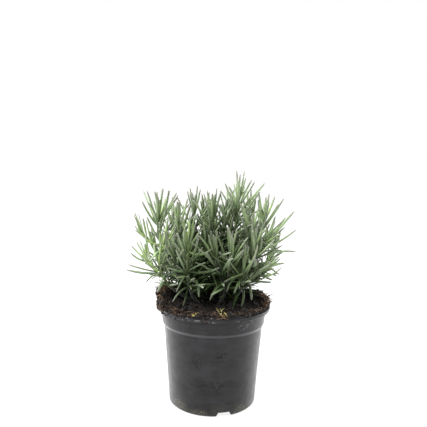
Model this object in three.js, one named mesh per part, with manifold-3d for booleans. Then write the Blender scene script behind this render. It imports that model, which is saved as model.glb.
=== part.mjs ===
// A young lavender in a black nursery pot, in millimetres, +Z up.
// The origin is the middle of the pot's foot, on the surface that the pot stands on,
// and -Y is the side that the plant shows to the front.
import * as THREE from "three";
import { mergeVertices } from "three/addons/utils/BufferGeometryUtils.js";
import Module from "manifold-3d";

const wasm = await Module();
wasm.setup();

// ---------------------------------------------------------------- driving dimensions

const GAP = 0.35; // air between touching pieces
const SLIVER = 0.04; // edges and steps smaller than this are smoothed away
const UP = new THREE.Vector3(0, 0, 1);

const POT_SIDES = 40;
const POT_HEIGHT = 93;
const LIP_RADIUS = 52.5;
const LIP_DROP = 4.4; // how far the turned-down lip hangs
const LIP_WALL = 1.2;
const WALL = 1.1;
const BAND_TOP_RADIUS = 48.8; // the straight band under the lip
const BAND_FOOT_RADIUS = 47.4;
const BAND_FOOT_Z = 76.4;
const SHOULDER_Z = 73.6; // where the body meets the shoulder
const BODY_TOP_RADIUS = 45.7;
const BODY_FOOT_RADIUS = 40.1;
const BODY_FOOT_Z = 1.7;
const FOOT_RADIUS = 38.5; // outer edge of the ring that the pot stands on
const PAD_RADIUS = 19.4; // flat pad in the middle of the foot
const FLOOR_Z = 4.7; // underside of the raised floor between pad and foot ring
const FLOOR_WALL = 1.2;
const FLOOR_SLOPE = 1.6; // how far the step from the pad up to the floor leans
const RING_WIDTH = 1.4; // of the foot ring's flat underside
const RING_LEAN = 1; // how far the inside of the foot ring leans
const PAD_STEP = 0.4; // wall of the step round the pad, measured sideways
const FLOOR_EDGE = 0.7; // from the foot ring's outer edge in to where the floor meets the wall
const SHOULDER_DROP = 0.2; // how far each bend inside the shoulder lies below the one outside it
const LIP_LEAN = 0.3; // how far the band leans out under the lip
const RIM_EASE = 0.2; // slope of the rim's inner edge
const LIP_EDGE = 0.8; // rounding of the lip's edges

// Drain notches through the foot ring, the first of them turned from the front by `turn` degrees.
const NOTCH = { count: 3, foot: 14.4, top: 10.3, height: 4.3, below: 1, turn: 15.6, depth: 10 };
const DRAIN = { count: 6, radius: 3.6, circle: 29.5, depth: 6, sides: 8 }; // round drain holes

const SOIL_SIDES = 30;
const SOIL_LEVEL = 96.5; // at the middle
const SOIL_SLOPE = 0.066; // rise towards the back, in mm for each mm
const SOIL_EDGE_RADIUS = 47.8;
const SOIL_LEAST = 0.7; // height of the surface above the pot's rim at its lowest
const SOIL_TURN = 0.25; // share of that height up to which the soil's edge stands upright
// Heaps in the soil: x, y, height, spread.
const HEAPS = [
  [-44, 4, 11, 9.5],
  [44, 7, 6.5, 9.5],
  [6, 38, 6, 17],
  [-24, 30, 4, 12],
  [-20, -34, 1.6, 8],
];
// Waves in the soil's surface: height, how fast they turn along x and y, and where they start.
const SWELL = { height: 0.7, alongX: 0.31, alongY: 0.27, startX: 1.3, startY: 0.4 };
const RIPPLE = { height: 0.4, alongX: 0.71, alongY: -0.52 };
// Where the soil spills over the lip: direction in degrees, reach, half-width in degrees.
const SPILLS = [
  [178, 5, 24],
  [6, 4.2, 20],
];

const SOIL_EASE = 0.5; // how far the soil keeps in from where the floor meets the wall

const HOLE_DEPTH = 12; // how far a stem stands in the soil
const HOLE_SIDES = 6;
const HOLE_REACH = 6; // how far the cutter of a stem's hole stands above the soil
const STEM_FOOT_RADIUS = 1.9; // corner radius of the square stem
const STEM_TIP_RADIUS = 1.05;
const STEM_RISE = 1.5; // the stretch above the soil that stands upright
const BRANCH_WIDTH = 0.9; // a side shoot's, as a share of the first shoot's where it branches off
const SHOOT_TURN = 0.9; // turns each shoot's square section and its leaves round, in radians
const STEM_STEP = 12; // length of one straight stretch of a stem
const CHORDS = 16; // that a shoot's length is measured along

const LEAF_WIDTH = 2.6;
const LEAF_THICKNESS = 1.1;
const LEAF_ABOVE = 0.35; // share of the thickness that lies on the upper side of the midline
const LEAF_STEPS = 16; // steps of a leaf's midline
// A leaf's width at its root and tip, as shares of the full one, and how fast it grows from there.
const TAPER = { root: 0.5, rootGrowth: 1.6, tip: 0.2, tipGrowth: 2.4 };
const FIRST_PAIR = 1.5; // of leaves, below the tip of a shoot
const PAIR_GAP = 5.05;
const PAIR_GAP_GROWTH = 0.14;
// What a pair's leaves have at the tip of their shoot, what each mm below it adds, and the most.
const LENGTH = { atTip: 22, growth: 0.95, most: 41 };
const SPREAD = { atTip: 9, growth: 1.5, most: 76 }; // degrees away from the shoot
const LIFT = { atTip: 0.55, growth: -0.024 }; // how far a leaf bends up on its way
const STRAY = { turn: 0.4, spread: 16, lift: 0.5, size: 0.26, twist: 0.9 }; // ranges of the draws
const LEAST_SIZE = 0.86;
const ATTEMPTS = 14; // ways that a leaf is tried, to grow clear of its neighbours
const ATTEMPT_STRAY = 0.3; // each way strays further than the one before it
const ATTEMPT_LOSS = 0.035; // and is shorter
const LEAF_CLEARANCE = 0.45;
const CROWN = { halfWidth: 66, halfDepth: 64, top: 213, foot: 112 }; // holds the pairs' leaf tips
const OWN_CLEARANCE = 0.1; // between leaves of one stem, which may lie closer together
const OWN_CLOSENESS = 0.45;
const SEED = 20747;
const REACH_TURN = 0.8; // radians that a leaf with a chosen tip is turned about itself, each way in turn
const ROOT_DEPTH = 0.5; // where a root starts inside the stem, as a share of the stem's radius
const ROOT_STEPS = 4; // the steps of a midline where leaves of one stem may touch
const LIP_MARGIN = 3; // a leaf stays above the rim until it is this far outside the lip
const SHOOT_STEP = 2; // between the places that a shoot takes
const CELL = 5; // of the grid that neighbours are looked up in

// A blade's rings: step of the midline, width and thickness there as shares of the full ones.
// The first set whose length a leaf doesn't pass is the one that it has.
const BLADES = [
  { upTo: 24, rings: [[0, 0.36, 0.7], [12, 1, 1]] },
  { upTo: 36, rings: [[0, 0.36, 0.7], [5, 1, 1], [15, 0.78, 0.85]] },
  { upTo: 60, rings: [[0, 0.36, 0.7], [4, 1, 1], [9, 1, 0.95], [15, 0.78, 0.8]] },
];

// The leafy stems. Each has its foot in the soil, and shoots with a knee that pulls the curve
// and a tip. A shoot with `from` branches off the first one at that share of its length.
// `bare` is the share of a shoot without leaves. `reach` lists leaves that grow to a chosen tip:
// shoot, distance below the shoot's tip, the leaf's tip, and how far its middle hangs.
const STEMS = [
  {
    name: "leafy_stem_left_tall",
    foot: [-15, 3],
    shoots: [
      { knee: [-57, -3, 130], tip: [-52, 0, 177], bare: 0.3 },
      { from: 0.66, knee: [-61, -5, 146], tip: [-66, -5, 158], bare: 0.1 },
    ],
    reach: [
      [0, 9, [-63, -1, 196.6], 1.5],
      [0, 13, [-67.4, -2, 187], 2.2],
      [0, 8, [-42, 1, 197.5], 1.8],
      [0, 10, [-36, 5, 195], 0.6],
      [0, 14, [-34, -6, 193.6], 0.4],
      [1, 1, [-72.6, -5, 173.4], 4.5],
    ],
  },
  {
    name: "leafy_stem_left_low",
    foot: [-21, -9],
    shoots: [
      { knee: [-60, -22, 119], tip: [-45, -21, 151], bare: 0.28 },
      { from: 0.52, knee: [-57, -20, 130], tip: [-61, -18, 137], bare: 0.1 },
    ],
    reach: [
      [1, 2, [-75.4, -14, 147.6], 1.0],
      [1, 4, [-75, -20, 142], 2.0],
      [0, 30, [-78.1, -16, 130.8], 1.0],
      [0, 31, [-78.6, -24, 127.6], 1.5],
      [0, 33, [-60, -30, 117.5], -3.5],
      [0, 42, [-50, -28, 108], -3.0],
    ],
  },
  {
    name: "leafy_stem_front_left",
    foot: [-14, -17],
    shoots: [
      { knee: [-27, -32, 112], tip: [-22.5, -31, 157], bare: 0.4 },
    ],
    reach: [
      [0, 24, [4.5, -43, 135], 2.6],
      [0, 24.5, [-40, -38, 133], 0.8],
      [0, 26, [-32.5, -39, 112], -2.5],
      [0, 22, [-34.5, -24, 161], 0.5],
      [0, 8, [-2, -40, 151], 4.5],
      [0, 30, [-17, -44, 122], -0.8],
      [0, 40, [-36, -36, 102], -4.0],
    ],
  },
  {
    name: "leafy_stem_left_inner",
    foot: [-9, -4],
    shoots: [
      { knee: [-32, -9, 116], tip: [-34, -10, 169], bare: 0.3 },
      { from: 0.4, knee: [-30, -18, 125], tip: [-36, -27, 143], bare: 0.2 },
    ],
    reach: [
      [0, 3, [-39.5, -8, 192], 0.6],
      [0, 3, [-32.2, -12, 189.5], 0.4],
      [0, 7, [-25, -10, 191.4], 1.2],
      [0, 12, [-22, -14, 187], 1.2],
    ],
  },
  {
    name: "leafy_stem_back_left",
    foot: [-8, 10],
    shoots: [
      { knee: [-20, 13, 118], tip: [-20.5, 15, 178], bare: 0.4 },
      { from: 0.45, knee: [-10, 22, 142], tip: [-9.5, 24, 175], bare: 0.2 },
      { from: 0.3, knee: [-36, 22, 122], tip: [-40, 26, 160], bare: 0.2 },
    ],
    reach: [
      [0, 3, [-24.5, 15, 199], 0.3],
      [0, 5, [-14.5, 16, 198], 0.8],
    ],
  },
  {
    name: "leafy_stem_centre",
    foot: [-1, 0],
    shoots: [
      { knee: [-3, -7, 130], tip: [-2.5, -5, 177], bare: 0.4 },
      { from: 0.35, knee: [-8, -20, 130], tip: [-7, -22, 150], bare: 0.4 },
      { from: 0.45, knee: [7, 3, 142], tip: [9, 6, 171], bare: 0.25 },
    ],
    reach: [
      [0, 3, [-8, -6, 198], 0.5],
      [0, 4, [4.7, -5, 197.5], 0.8],
    ],
  },
  {
    name: "leafy_stem_front_centre",
    foot: [6, -14],
    shoots: [
      { knee: [14, -32, 116], tip: [13.5, -34, 149], bare: 0.45 },
      { from: 0.42, knee: [3, -30, 124], tip: [0, -34, 146], bare: 0.4 },
    ],
    reach: [
      [0, 11, [4, -46, 149], 1.5],
      [0, 11, [24, -47, 151.5], 1.2],
    ],
  },
  {
    name: "leafy_stem_tallest",
    foot: [7, 4],
    shoots: [
      { knee: [17, 2, 135], tip: [21, 0, 190], bare: 0.36 },
      { from: 0.38, knee: [40, -12, 138], tip: [30, -13, 166], bare: 0.25 },
    ],
    reach: [
      [0, 2, [18.5, 0, 216.4], 0.8],
      [0, 2, [25.8, 1, 216.6], 0.9],
      [0, 9, [21.6, -6, 213.5], 0.6],
      [0, 14, [31.6, -6, 193], 0.8],
      [0, 10, [8, 0, 205], 0.8],
      [0, 7, [35.7, 3, 206.7], 1.0],
      [0, 13, [45.4, 5, 205.7], 0.4],
    ],
  },
  {
    name: "leafy_stem_right_tall",
    foot: [14.5, 2],
    shoots: [
      { knee: [38, 0, 124], tip: [45, 0, 173], bare: 0.3 },
      { from: 0.5, knee: [34, 12, 152], tip: [33, 15, 174], bare: 0.15 },
    ],
    reach: [
      [0, 4, [38.8, -3, 198], 1.0],
      [0, 2, [49.5, 5, 195.7], 0.6],
      [0, 5, [54.2, -1, 193.8], 1.0],
      [0, 11, [62.6, 0, 191.8], 0.4],
    ],
  },
  {
    name: "leafy_stem_right",
    foot: [19, -6],
    shoots: [
      { knee: [30, -10, 128], tip: [46, -10, 153], bare: 0.3 },
      { from: 0.45, knee: [34, -20, 132], tip: [34, -28, 150], bare: 0.2 },
    ],
    reach: [
      [0, 9, [71.4, -8, 181.2], 0.4],
      [0, 6, [63, -13, 176], 0.8],
      [0, 11, [55, -4, 171.5], 1.6],
      [0, 12, [73.3, -12, 165], 1.8],
      [0, 8, [59.5, -17, 160.7], -2.4],
      [0, 20, [73.7, -12, 144.6], -3.0],
    ],
  },
  {
    name: "leafy_stem_right_low",
    foot: [16, -15],
    shoots: [
      { knee: [26, -20, 114], tip: [43, -18, 128], bare: 0.4 },
      { from: 0.35, knee: [24, -30, 116], tip: [26, -34, 136], bare: 0.35 },
    ],
    reach: [
      [0, 4, [63.5, -13, 134], -2.0],
      [0, 3, [57.4, -22, 142], 1.0],
      [0, 6, [57, -20, 126.5], 1.2],
      [0, 12, [51.5, -22, 118.5], 1.0],
      [1, 8, [8, -47, 123], -1.2],
      [1, 12, [17, -44, 112.5], -2.5],
      [0, 16, [33, -33, 104], -3.5],
    ],
  },
  {
    name: "leafy_stem_back_right",
    foot: [11, 12],
    shoots: [
      { knee: [34, 22, 118], tip: [43, 26, 161], bare: 0.3 },
      { from: 0.4, knee: [16, 26, 134], tip: [14, 29, 176], bare: 0.25 },
      { from: 0.3, knee: [48, 16, 116], tip: [57, 17, 142], bare: 0.2 },
    ],
    reach: [],
  },
  {
    name: "leafy_stem_back",
    foot: [0, 18],
    shoots: [
      { knee: [-6, 42, 116], tip: [-6, 45, 158], bare: 0.3 },
      { from: 0.35, knee: [20, 42, 116], tip: [27, 47, 145], bare: 0.2 },
      { from: 0.35, knee: [-24, 42, 114], tip: [-31, 45, 146], bare: 0.2 },
    ],
    reach: [],
  },
  {
    name: "leafy_stem_back_low",
    foot: [-17, 13],
    shoots: [
      { knee: [-46, 20, 110], tip: [-57, 22, 140], bare: 0.3 },
      { from: 0.35, knee: [-36, 40, 112], tip: [-44, 44, 128], bare: 0.2 },
    ],
    reach: [],
  },
];

// ---------------------------------------------------------------- solids

// The closed solid of a geometry, its faces turned outwards.
function solid(geometry) {
  const bare = new THREE.BufferGeometry();
  bare.setAttribute("position", geometry.getAttribute("position").clone());
  bare.setIndex(geometry.index);
  const merged = mergeVertices(bare, 1e-4);
  const corners = Array.from(merged.index.array);
  const triangles = [];
  for (let i = 0; i < corners.length; i += 3) {
    const [a, b, c] = corners.slice(i, i + 3);
    if (a !== b && b !== c && c !== a) triangles.push(a, b, c);
  }
  const build = (order) =>
    new wasm.Manifold(
      new wasm.Mesh({
        numProp: 3,
        vertProperties: new Float32Array(merged.getAttribute("position").array),
        triVerts: new Uint32Array(order),
      }),
    );
  const body = build(triangles);
  return body.volume() > 0 ? body : build(triangles.slice().reverse());
}

// A mesh of the largest body of a solid, without slivers: a scrap or a sealed hollow is left out.
function meshOf(body, name, material) {
  const parts = body.asOriginal().simplify(SLIVER).decompose();
  const largest = parts.reduce((a, b) => (b.volume() > a.volume() ? b : a));
  const data = largest.getMesh();
  const geometry = new THREE.BufferGeometry();
  geometry.setAttribute("position", new THREE.Float32BufferAttribute(data.vertProperties, 3));
  geometry.setIndex(Array.from(data.triVerts));
  geometry.computeVertexNormals();
  const mesh = new THREE.Mesh(geometry, material);
  mesh.name = name;
  return mesh;
}

// The closed skin over a row of rings with equal counts of points, with flat or pointed ends.
function loft(rings, point = null) {
  const sides = rings[0].length;
  const corners = rings.flat();
  const faces = [];
  for (let r = 0; r + 1 < rings.length; r += 1) {
    for (let i = 0; i < sides; i += 1) {
      const a = r * sides + i;
      const b = r * sides + ((i + 1) % sides);
      faces.push(a, b, b + sides, a, b + sides, a + sides);
    }
  }
  for (let i = 1; i + 1 < sides; i += 1) faces.push(0, i + 1, i);
  const last = (rings.length - 1) * sides;
  if (point) {
    corners.push(point);
    const end = corners.length - 1;
    for (let i = 0; i < sides; i += 1) faces.push(last + i, last + ((i + 1) % sides), end);
  } else {
    for (let i = 1; i + 1 < sides; i += 1) faces.push(last, last + i, last + i + 1);
  }
  const geometry = new THREE.BufferGeometry().setFromPoints(corners);
  geometry.setIndex(faces);
  return solid(geometry);
}

// A profile of [radius, height] turned about the vertical axis.
function turned(profile, sides) {
  const points = profile.map(([radius, z]) => new THREE.Vector2(radius, z));
  return new THREE.LatheGeometry(points, sides).rotateX(Math.PI / 2);
}

// ---------------------------------------------------------------- pot

// The radius of the outside of the body, below the shoulder.
function bodyRadius(z) {
  const share = (z - BODY_FOOT_Z) / (SHOULDER_Z - BODY_FOOT_Z);
  return BODY_FOOT_RADIUS + share * (BODY_TOP_RADIUS - BODY_FOOT_RADIUS);
}

function potProfile() {
  const floorTop = FLOOR_Z + FLOOR_WALL;
  const lipUnder = POT_HEIGHT - LIP_WALL;
  const lipFoot = POT_HEIGHT - LIP_DROP;
  const insideBand = BAND_TOP_RADIUS - WALL;
  return [
    [0, 0],
    [PAD_RADIUS, 0],
    [PAD_RADIUS + FLOOR_SLOPE, FLOOR_Z],
    [FOOT_RADIUS - RING_WIDTH + RING_LEAN, FLOOR_Z],
    [FOOT_RADIUS - RING_WIDTH, 0],
    [FOOT_RADIUS, 0],
    [BODY_FOOT_RADIUS, BODY_FOOT_Z],
    [BODY_TOP_RADIUS, SHOULDER_Z],
    [BAND_FOOT_RADIUS, BAND_FOOT_Z],
    [BAND_TOP_RADIUS, lipFoot],
    [BAND_TOP_RADIUS + LIP_LEAN, lipUnder],
    [LIP_RADIUS - LIP_WALL, lipUnder],
    [LIP_RADIUS - LIP_WALL, lipFoot],
    [LIP_RADIUS - LIP_EDGE / 2, lipFoot],
    [LIP_RADIUS, lipFoot + LIP_EDGE],
    [LIP_RADIUS, POT_HEIGHT - LIP_EDGE],
    [LIP_RADIUS - LIP_EDGE, POT_HEIGHT],
    [BAND_TOP_RADIUS - RIM_EASE, POT_HEIGHT],
    [insideBand + RIM_EASE, POT_HEIGHT - LIP_EDGE],
    [BAND_FOOT_RADIUS - WALL, BAND_FOOT_Z - SHOULDER_DROP],
    [BODY_TOP_RADIUS - WALL, SHOULDER_Z - 2 * SHOULDER_DROP],
    [bodyRadius(floorTop + FLOOR_SLOPE) - WALL, floorTop + FLOOR_SLOPE],
    [FOOT_RADIUS - FLOOR_EDGE, floorTop],
    [PAD_RADIUS + FLOOR_SLOPE - PAD_STEP, floorTop],
    [PAD_RADIUS - PAD_STEP, FLOOR_WALL],
    [0, FLOOR_WALL],
  ];
}

// A wedge that cuts one drain notch through the foot ring.
function notchCutter(turn) {
  const outline = new THREE.Shape([
    new THREE.Vector2(-NOTCH.foot / 2, -NOTCH.below),
    new THREE.Vector2(NOTCH.foot / 2, -NOTCH.below),
    new THREE.Vector2(NOTCH.foot / 2, 0),
    new THREE.Vector2(NOTCH.top / 2, NOTCH.height),
    new THREE.Vector2(-NOTCH.top / 2, NOTCH.height),
    new THREE.Vector2(-NOTCH.foot / 2, 0),
  ]);
  const cutter = new THREE.ExtrudeGeometry(outline, { depth: NOTCH.depth, bevelEnabled: false });
  cutter.rotateX(Math.PI / 2);
  cutter.translate(0, -FOOT_RADIUS + NOTCH.depth / 2, 0);
  return solid(cutter.rotateZ(turn));
}

function drainCutter(turn) {
  const cutter = new THREE.CylinderGeometry(DRAIN.radius, DRAIN.radius, DRAIN.depth, DRAIN.sides);
  cutter.rotateX(Math.PI / 2);
  cutter.translate(0, -DRAIN.circle, FLOOR_Z + FLOOR_WALL / 2);
  return solid(cutter.rotateZ(turn));
}

function potBody() {
  let body = solid(turned(potProfile(), POT_SIDES));
  const firstNotch = THREE.MathUtils.degToRad(NOTCH.turn);
  for (let i = 0; i < NOTCH.count; i += 1) {
    body = body.subtract(notchCutter(firstNotch + (i * 2 * Math.PI) / NOTCH.count));
  }
  for (let i = 0; i < DRAIN.count; i += 1) {
    body = body.subtract(drainCutter(((i + 0.5) * 2 * Math.PI) / DRAIN.count));
  }
  return body;
}

// ---------------------------------------------------------------- soil

// The height of the soil's surface.
function soilTop(x, y) {
  let z = SOIL_LEVEL + SOIL_SLOPE * y;
  for (const [cx, cy, height, spread] of HEAPS) {
    z += height * Math.exp(-((x - cx) ** 2 + (y - cy) ** 2) / (2 * spread * spread));
  }
  const wave = Math.sin(SWELL.alongX * x + SWELL.startX) * Math.cos(SWELL.alongY * y + SWELL.startY);
  z += SWELL.height * wave + RIPPLE.height * Math.sin(RIPPLE.alongX * x + RIPPLE.alongY * y);
  return Math.max(z, POT_HEIGHT + SOIL_LEAST);
}

// The radius of the soil's edge above the rim, in one direction.
function soilEdge(turn) {
  let radius = SOIL_EDGE_RADIUS;
  const degrees = THREE.MathUtils.radToDeg(turn);
  for (const [direction, reach, halfWidth] of SPILLS) {
    const off = THREE.MathUtils.euclideanModulo(degrees - direction + 180, 360) - 180;
    radius += reach * Math.exp(-((off / halfWidth) ** 2));
  }
  return radius;
}

// The soil is turned as a plain body, and then its upper rings are moved to the edge and the
// surface: a ring's height above SOIL_RING names which one it is.
const SOIL_RING = 100;
const SOIL_TOP_RINGS = [1, 0.92, 0.74, 0.52, 0.28, 0];

function soilBody() {
  const floor = FLOOR_Z + FLOOR_WALL + GAP;
  const rimRadius = BAND_TOP_RADIUS - WALL - GAP;
  const profile = [
    [0, FLOOR_WALL + GAP],
    [PAD_RADIUS - 2 * PAD_STEP, FLOOR_WALL + GAP],
    [PAD_RADIUS + FLOOR_SLOPE - 2 * PAD_STEP, floor],
    [FOOT_RADIUS - FLOOR_EDGE - SOIL_EASE, floor],
    [bodyRadius(floor + FLOOR_SLOPE) - WALL - GAP, floor + FLOOR_SLOPE],
    [BODY_TOP_RADIUS - WALL - GAP, SHOULDER_Z - 3 * SHOULDER_DROP],
    [BAND_FOOT_RADIUS - WALL - GAP, BAND_FOOT_Z],
    [rimRadius, POT_HEIGHT],
    [SOIL_EDGE_RADIUS, SOIL_RING],
    ...SOIL_TOP_RINGS.map((share, i) => [SOIL_EDGE_RADIUS * share, SOIL_RING + 1 + i]),
  ];
  const geometry = turned(profile, SOIL_SIDES);
  const position = geometry.getAttribute("position");
  for (let i = 0; i < position.count; i += 1) {
    const ring = Math.round(position.getZ(i)) - SOIL_RING;
    if (ring < 0) continue;
    const turn = Math.atan2(position.getY(i), position.getX(i));
    const radius = soilEdge(turn) * (SOIL_TOP_RINGS[ring - 1] ?? 1);
    const x = radius * Math.cos(turn);
    const y = radius * Math.sin(turn);
    const top = soilTop(x, y);
    const foot = POT_HEIGHT + GAP;
    const heights = [foot, foot + SOIL_TURN * (top - POT_HEIGHT)];
    position.setXYZ(i, x, y, heights[ring] ?? top);
  }
  let body = solid(geometry);
  for (const stem of STEMS) body = body.subtract(stemHole(stem.foot));
  return body;
}

// The plain upright hole that one stem stands in.
function stemHole([x, y]) {
  const radius = (STEM_FOOT_RADIUS + GAP) / Math.cos(Math.PI / HOLE_SIDES);
  const hole = new THREE.CylinderGeometry(radius, radius, HOLE_DEPTH + HOLE_REACH, HOLE_SIDES);
  hole.rotateX(Math.PI / 2);
  return solid(hole.translate(x, y, soilTop(x, y) + (HOLE_REACH - HOLE_DEPTH) / 2 - GAP));
}

// ---------------------------------------------------------------- layout of the plant

// Seeded draws between 0 and 1, the same on every run.
function drawsFrom(seed) {
  let state = seed;
  return () => {
    state = (state * 16807) % 2147483647;
    return state / 2147483647;
  };
}

const vector = ([x, y, z]) => new THREE.Vector3(x, y, z);

// A shoot's point and direction at a share t of its curve.
function shootPoint(shoot, t) {
  const point = shoot.start.clone().multiplyScalar((1 - t) * (1 - t));
  point.addScaledVector(shoot.knee, 2 * t * (1 - t));
  return point.addScaledVector(shoot.tip, t * t);
}

function shootHeading(shoot, t) {
  const first = shoot.knee.clone().sub(shoot.start);
  const second = shoot.tip.clone().sub(shoot.knee);
  return first.multiplyScalar(1 - t).addScaledVector(second, t).normalize();
}

// A stem's shoots with their start, length and radii worked out.
function growShoots(stem) {
  const shoots = [];
  for (const given of stem.shoots) {
    const shoot = { knee: vector(given.knee), tip: vector(given.tip), bare: given.bare };
    shoot.turn = SHOOT_TURN * (shoots.length + stem.foot[0]);
    const [x, y] = stem.foot;
    if (given.from) {
      shoot.start = shootPoint(shoots[0], given.from);
      shoot.width = BRANCH_WIDTH * radiusAt(shoots[0], given.from);
    } else {
      shoot.start = vector([x, y, soilTop(x, y) + STEM_RISE]);
      shoot.width = STEM_FOOT_RADIUS;
    }
    shoot.length = 0;
    for (let i = 0; i < CHORDS; i += 1) {
      const end = shootPoint(shoot, (i + 1) / CHORDS);
      shoot.length += shootPoint(shoot, i / CHORDS).distanceTo(end);
    }
    shoots.push(shoot);
  }
  return shoots;
}

function radiusAt(shoot, t) {
  return shoot.width + t * (STEM_TIP_RADIUS - shoot.width);
}

// The places already taken, in cells of a grid, each with the stem that holds it.
const taken = new Map();

function cellsRound(point) {
  const [cx, cy, cz] = [point.x, point.y, point.z].map((value) => Math.floor(value / CELL));
  const keys = [];
  for (let i = -1; i <= 1; i += 1) {
    for (let j = -1; j <= 1; j += 1) {
      for (let k = -1; k <= 1; k += 1) keys.push(`${cx + i},${cy + j},${cz + k}`);
    }
  }
  return keys;
}

function take(point, radius, owner, step) {
  const key = [point.x, point.y, point.z].map((value) => Math.floor(value / CELL)).join(",");
  if (!taken.has(key)) taken.set(key, []);
  taken.get(key).push({ point: point.clone(), radius, owner, step });
}

// How far a leaf's point has to stay from a taken place.
function distanceNeeded(radius, owner, step, other) {
  if (other.owner !== owner) return other.radius + radius + LEAF_CLEARANCE;
  if (step < ROOT_STEPS || other.step < ROOT_STEPS) return 0;
  return OWN_CLOSENESS * (other.radius + radius) + OWN_CLEARANCE;
}

// A leaf's half-width at one step of its midline.
function halfWidthAt(width, step) {
  const share = step / LEAF_STEPS;
  const fromRoot = Math.min(1, TAPER.root + TAPER.rootGrowth * share);
  const fromTip = Math.min(1, TAPER.tip + TAPER.tipGrowth * (1 - share));
  return 0.5 * width * fromRoot * fromTip;
}

// Whether a leaf keeps clear of other stems' places, the soil and the pot's lip.
function isClear(leaf, owner) {
  return leaf.points.every((point, step) => {
    const radius = halfWidthAt(leaf.width, step);
    const out = Math.hypot(point.x, point.y);
    const ground = out < LIP_RADIUS + LIP_MARGIN ? soilTop(point.x, point.y) : 0;
    if (point.z < ground + radius + LEAF_CLEARANCE) return false;
    return cellsRound(point).every((key) =>
      (taken.get(key) ?? []).every(
        (other) => other.point.distanceTo(point) >= distanceNeeded(radius, owner, step, other),
      ),
    );
  });
}

// Whether a leaf of a pair stays within the plant's rounded outline.
function isInCrown(leaf) {
  const tip = leaf.points[LEAF_STEPS];
  if (tip.z > CROWN.top || tip.z < CROWN.foot) return false;
  return Math.hypot(tip.x / CROWN.halfWidth, tip.y / CROWN.halfDepth) < 1;
}

function keepLeaf(leaf, owner) {
  leaf.points.forEach((point, step) => take(point, halfWidthAt(leaf.width, step), owner, step));
}

// A midline that sets out along `heading` and bends up, or down with a negative lift.
function bendingMidline(root, heading, lift, length) {
  const points = [root];
  for (let i = 0; i < LEAF_STEPS; i += 1) {
    const along = heading.clone().addScaledVector(UP, (lift * (i + 0.5)) / LEAF_STEPS).normalize();
    points.push(points[i].clone().addScaledVector(along, length / LEAF_STEPS));
  }
  return points;
}

// A midline from the root to a chosen tip, its middle hanging `sag` below the straight line.
function reachingMidline(root, tip, sag) {
  const points = [];
  for (let i = 0; i <= LEAF_STEPS; i += 1) {
    const t = i / LEAF_STEPS;
    points.push(root.clone().lerp(tip, t).addScaledVector(UP, -4 * sag * t * (1 - t)));
  }
  return points;
}

// One leaf of a pair, on the side of the shoot that the azimuth gives.
function pairLeaf(shoot, below, azimuth, draw, attempt) {
  const t = Math.max(0, 1 - below / shoot.length);
  const stray = 1 + ATTEMPT_STRAY * attempt;
  const heading = shootHeading(shoot, t);
  const sideways = new THREE.Vector3(1, 0, 0).addScaledVector(heading, -heading.x).normalize();
  const turn = azimuth + (draw() - 0.5) * STRAY.turn * stray;
  const outward = sideways.applyAxisAngle(heading, turn);
  const open = Math.min(SPREAD.most, SPREAD.atTip + SPREAD.growth * below);
  const spread = THREE.MathUtils.degToRad(open + (draw() - 0.5) * STRAY.spread * stray);
  const lift = LIFT.atTip + LIFT.growth * below + (draw() - 0.5) * STRAY.lift * stray;
  const size = Math.min(LENGTH.most, LENGTH.atTip + LENGTH.growth * below);
  const length = size * (LEAST_SIZE + STRAY.size * draw()) * (1 - ATTEMPT_LOSS * attempt);
  const width = LEAF_WIDTH * (LEAST_SIZE + STRAY.size * draw());
  const twist = (draw() - 0.5) * STRAY.twist;
  const start = heading.clone().multiplyScalar(Math.cos(spread));
  start.addScaledVector(outward, Math.sin(spread));
  const side = heading.clone().cross(outward).normalize();
  const root = shootPoint(shoot, t).addScaledVector(outward, ROOT_DEPTH * radiusAt(shoot, t));
  return { points: bendingMidline(root, start, lift, length), length, width, side, twist };
}

// One leaf that grows from the middle of the shoot to a chosen tip, turned about its own line.
function reachingLeaf(shoot, below, tip, sag, turn) {
  const t = Math.max(0, 1 - below / shoot.length);
  const root = shootPoint(shoot, t);
  const points = reachingMidline(root, vector(tip), sag);
  const length = root.distanceTo(vector(tip));
  const along = vector(tip).sub(root).normalize();
  const side = shootHeading(shoot, t).cross(along).normalize().applyAxisAngle(along, turn);
  return { points, length, width: LEAF_WIDTH, side, twist: 0 };
}

function takeShoot(shoot, owner) {
  const steps = Math.ceil(shoot.length / SHOOT_STEP);
  for (let i = 0; i <= steps; i += 1) {
    take(shootPoint(shoot, i / steps), radiusAt(shoot, i / steps), owner, LEAF_STEPS);
  }
}

// The leaf of a pair, bent this way and that until it is clear, or null.
function clearLeaf(shoot, below, azimuth, draw, owner) {
  for (let attempt = 0; attempt < ATTEMPTS; attempt += 1) {
    const leaf = pairLeaf(shoot, below, azimuth, draw, attempt);
    if (isInCrown(leaf) && isClear(leaf, owner)) {
      keepLeaf(leaf, owner);
      return leaf;
    }
  }
  return null;
}

// The leaves of a stem that have a chosen tip, where it is clear.
function growReachingLeaves(stem, reach, owner) {
  reach.forEach(([shoot, below, tip, sag], i) => {
    const turn = i % 2 ? -REACH_TURN : REACH_TURN;
    const leaf = reachingLeaf(stem.shoots[shoot], below, tip, sag, turn);
    if (!isClear(leaf, owner)) return;
    keepLeaf(leaf, owner);
    stem.leaves.push(leaf);
  });
}

// The pairs of a stem's leaves, from each shoot's tip down, each pair across the one above it
// and between the corners of the square shoot.
function growPairs(stem, draw, owner) {
  for (const shoot of stem.shoots) {
    const lowest = (1 - shoot.bare) * shoot.length;
    let azimuth = shoot.turn + Math.PI / 4;
    for (let below = FIRST_PAIR; below < lowest; below += PAIR_GAP + PAIR_GAP_GROWTH * below) {
      for (const half of [0, Math.PI]) {
        const leaf = clearLeaf(shoot, below, azimuth + half, draw, owner);
        if (leaf) stem.leaves.push(leaf);
      }
      azimuth += Math.PI / 2;
    }
  }
}

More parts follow.
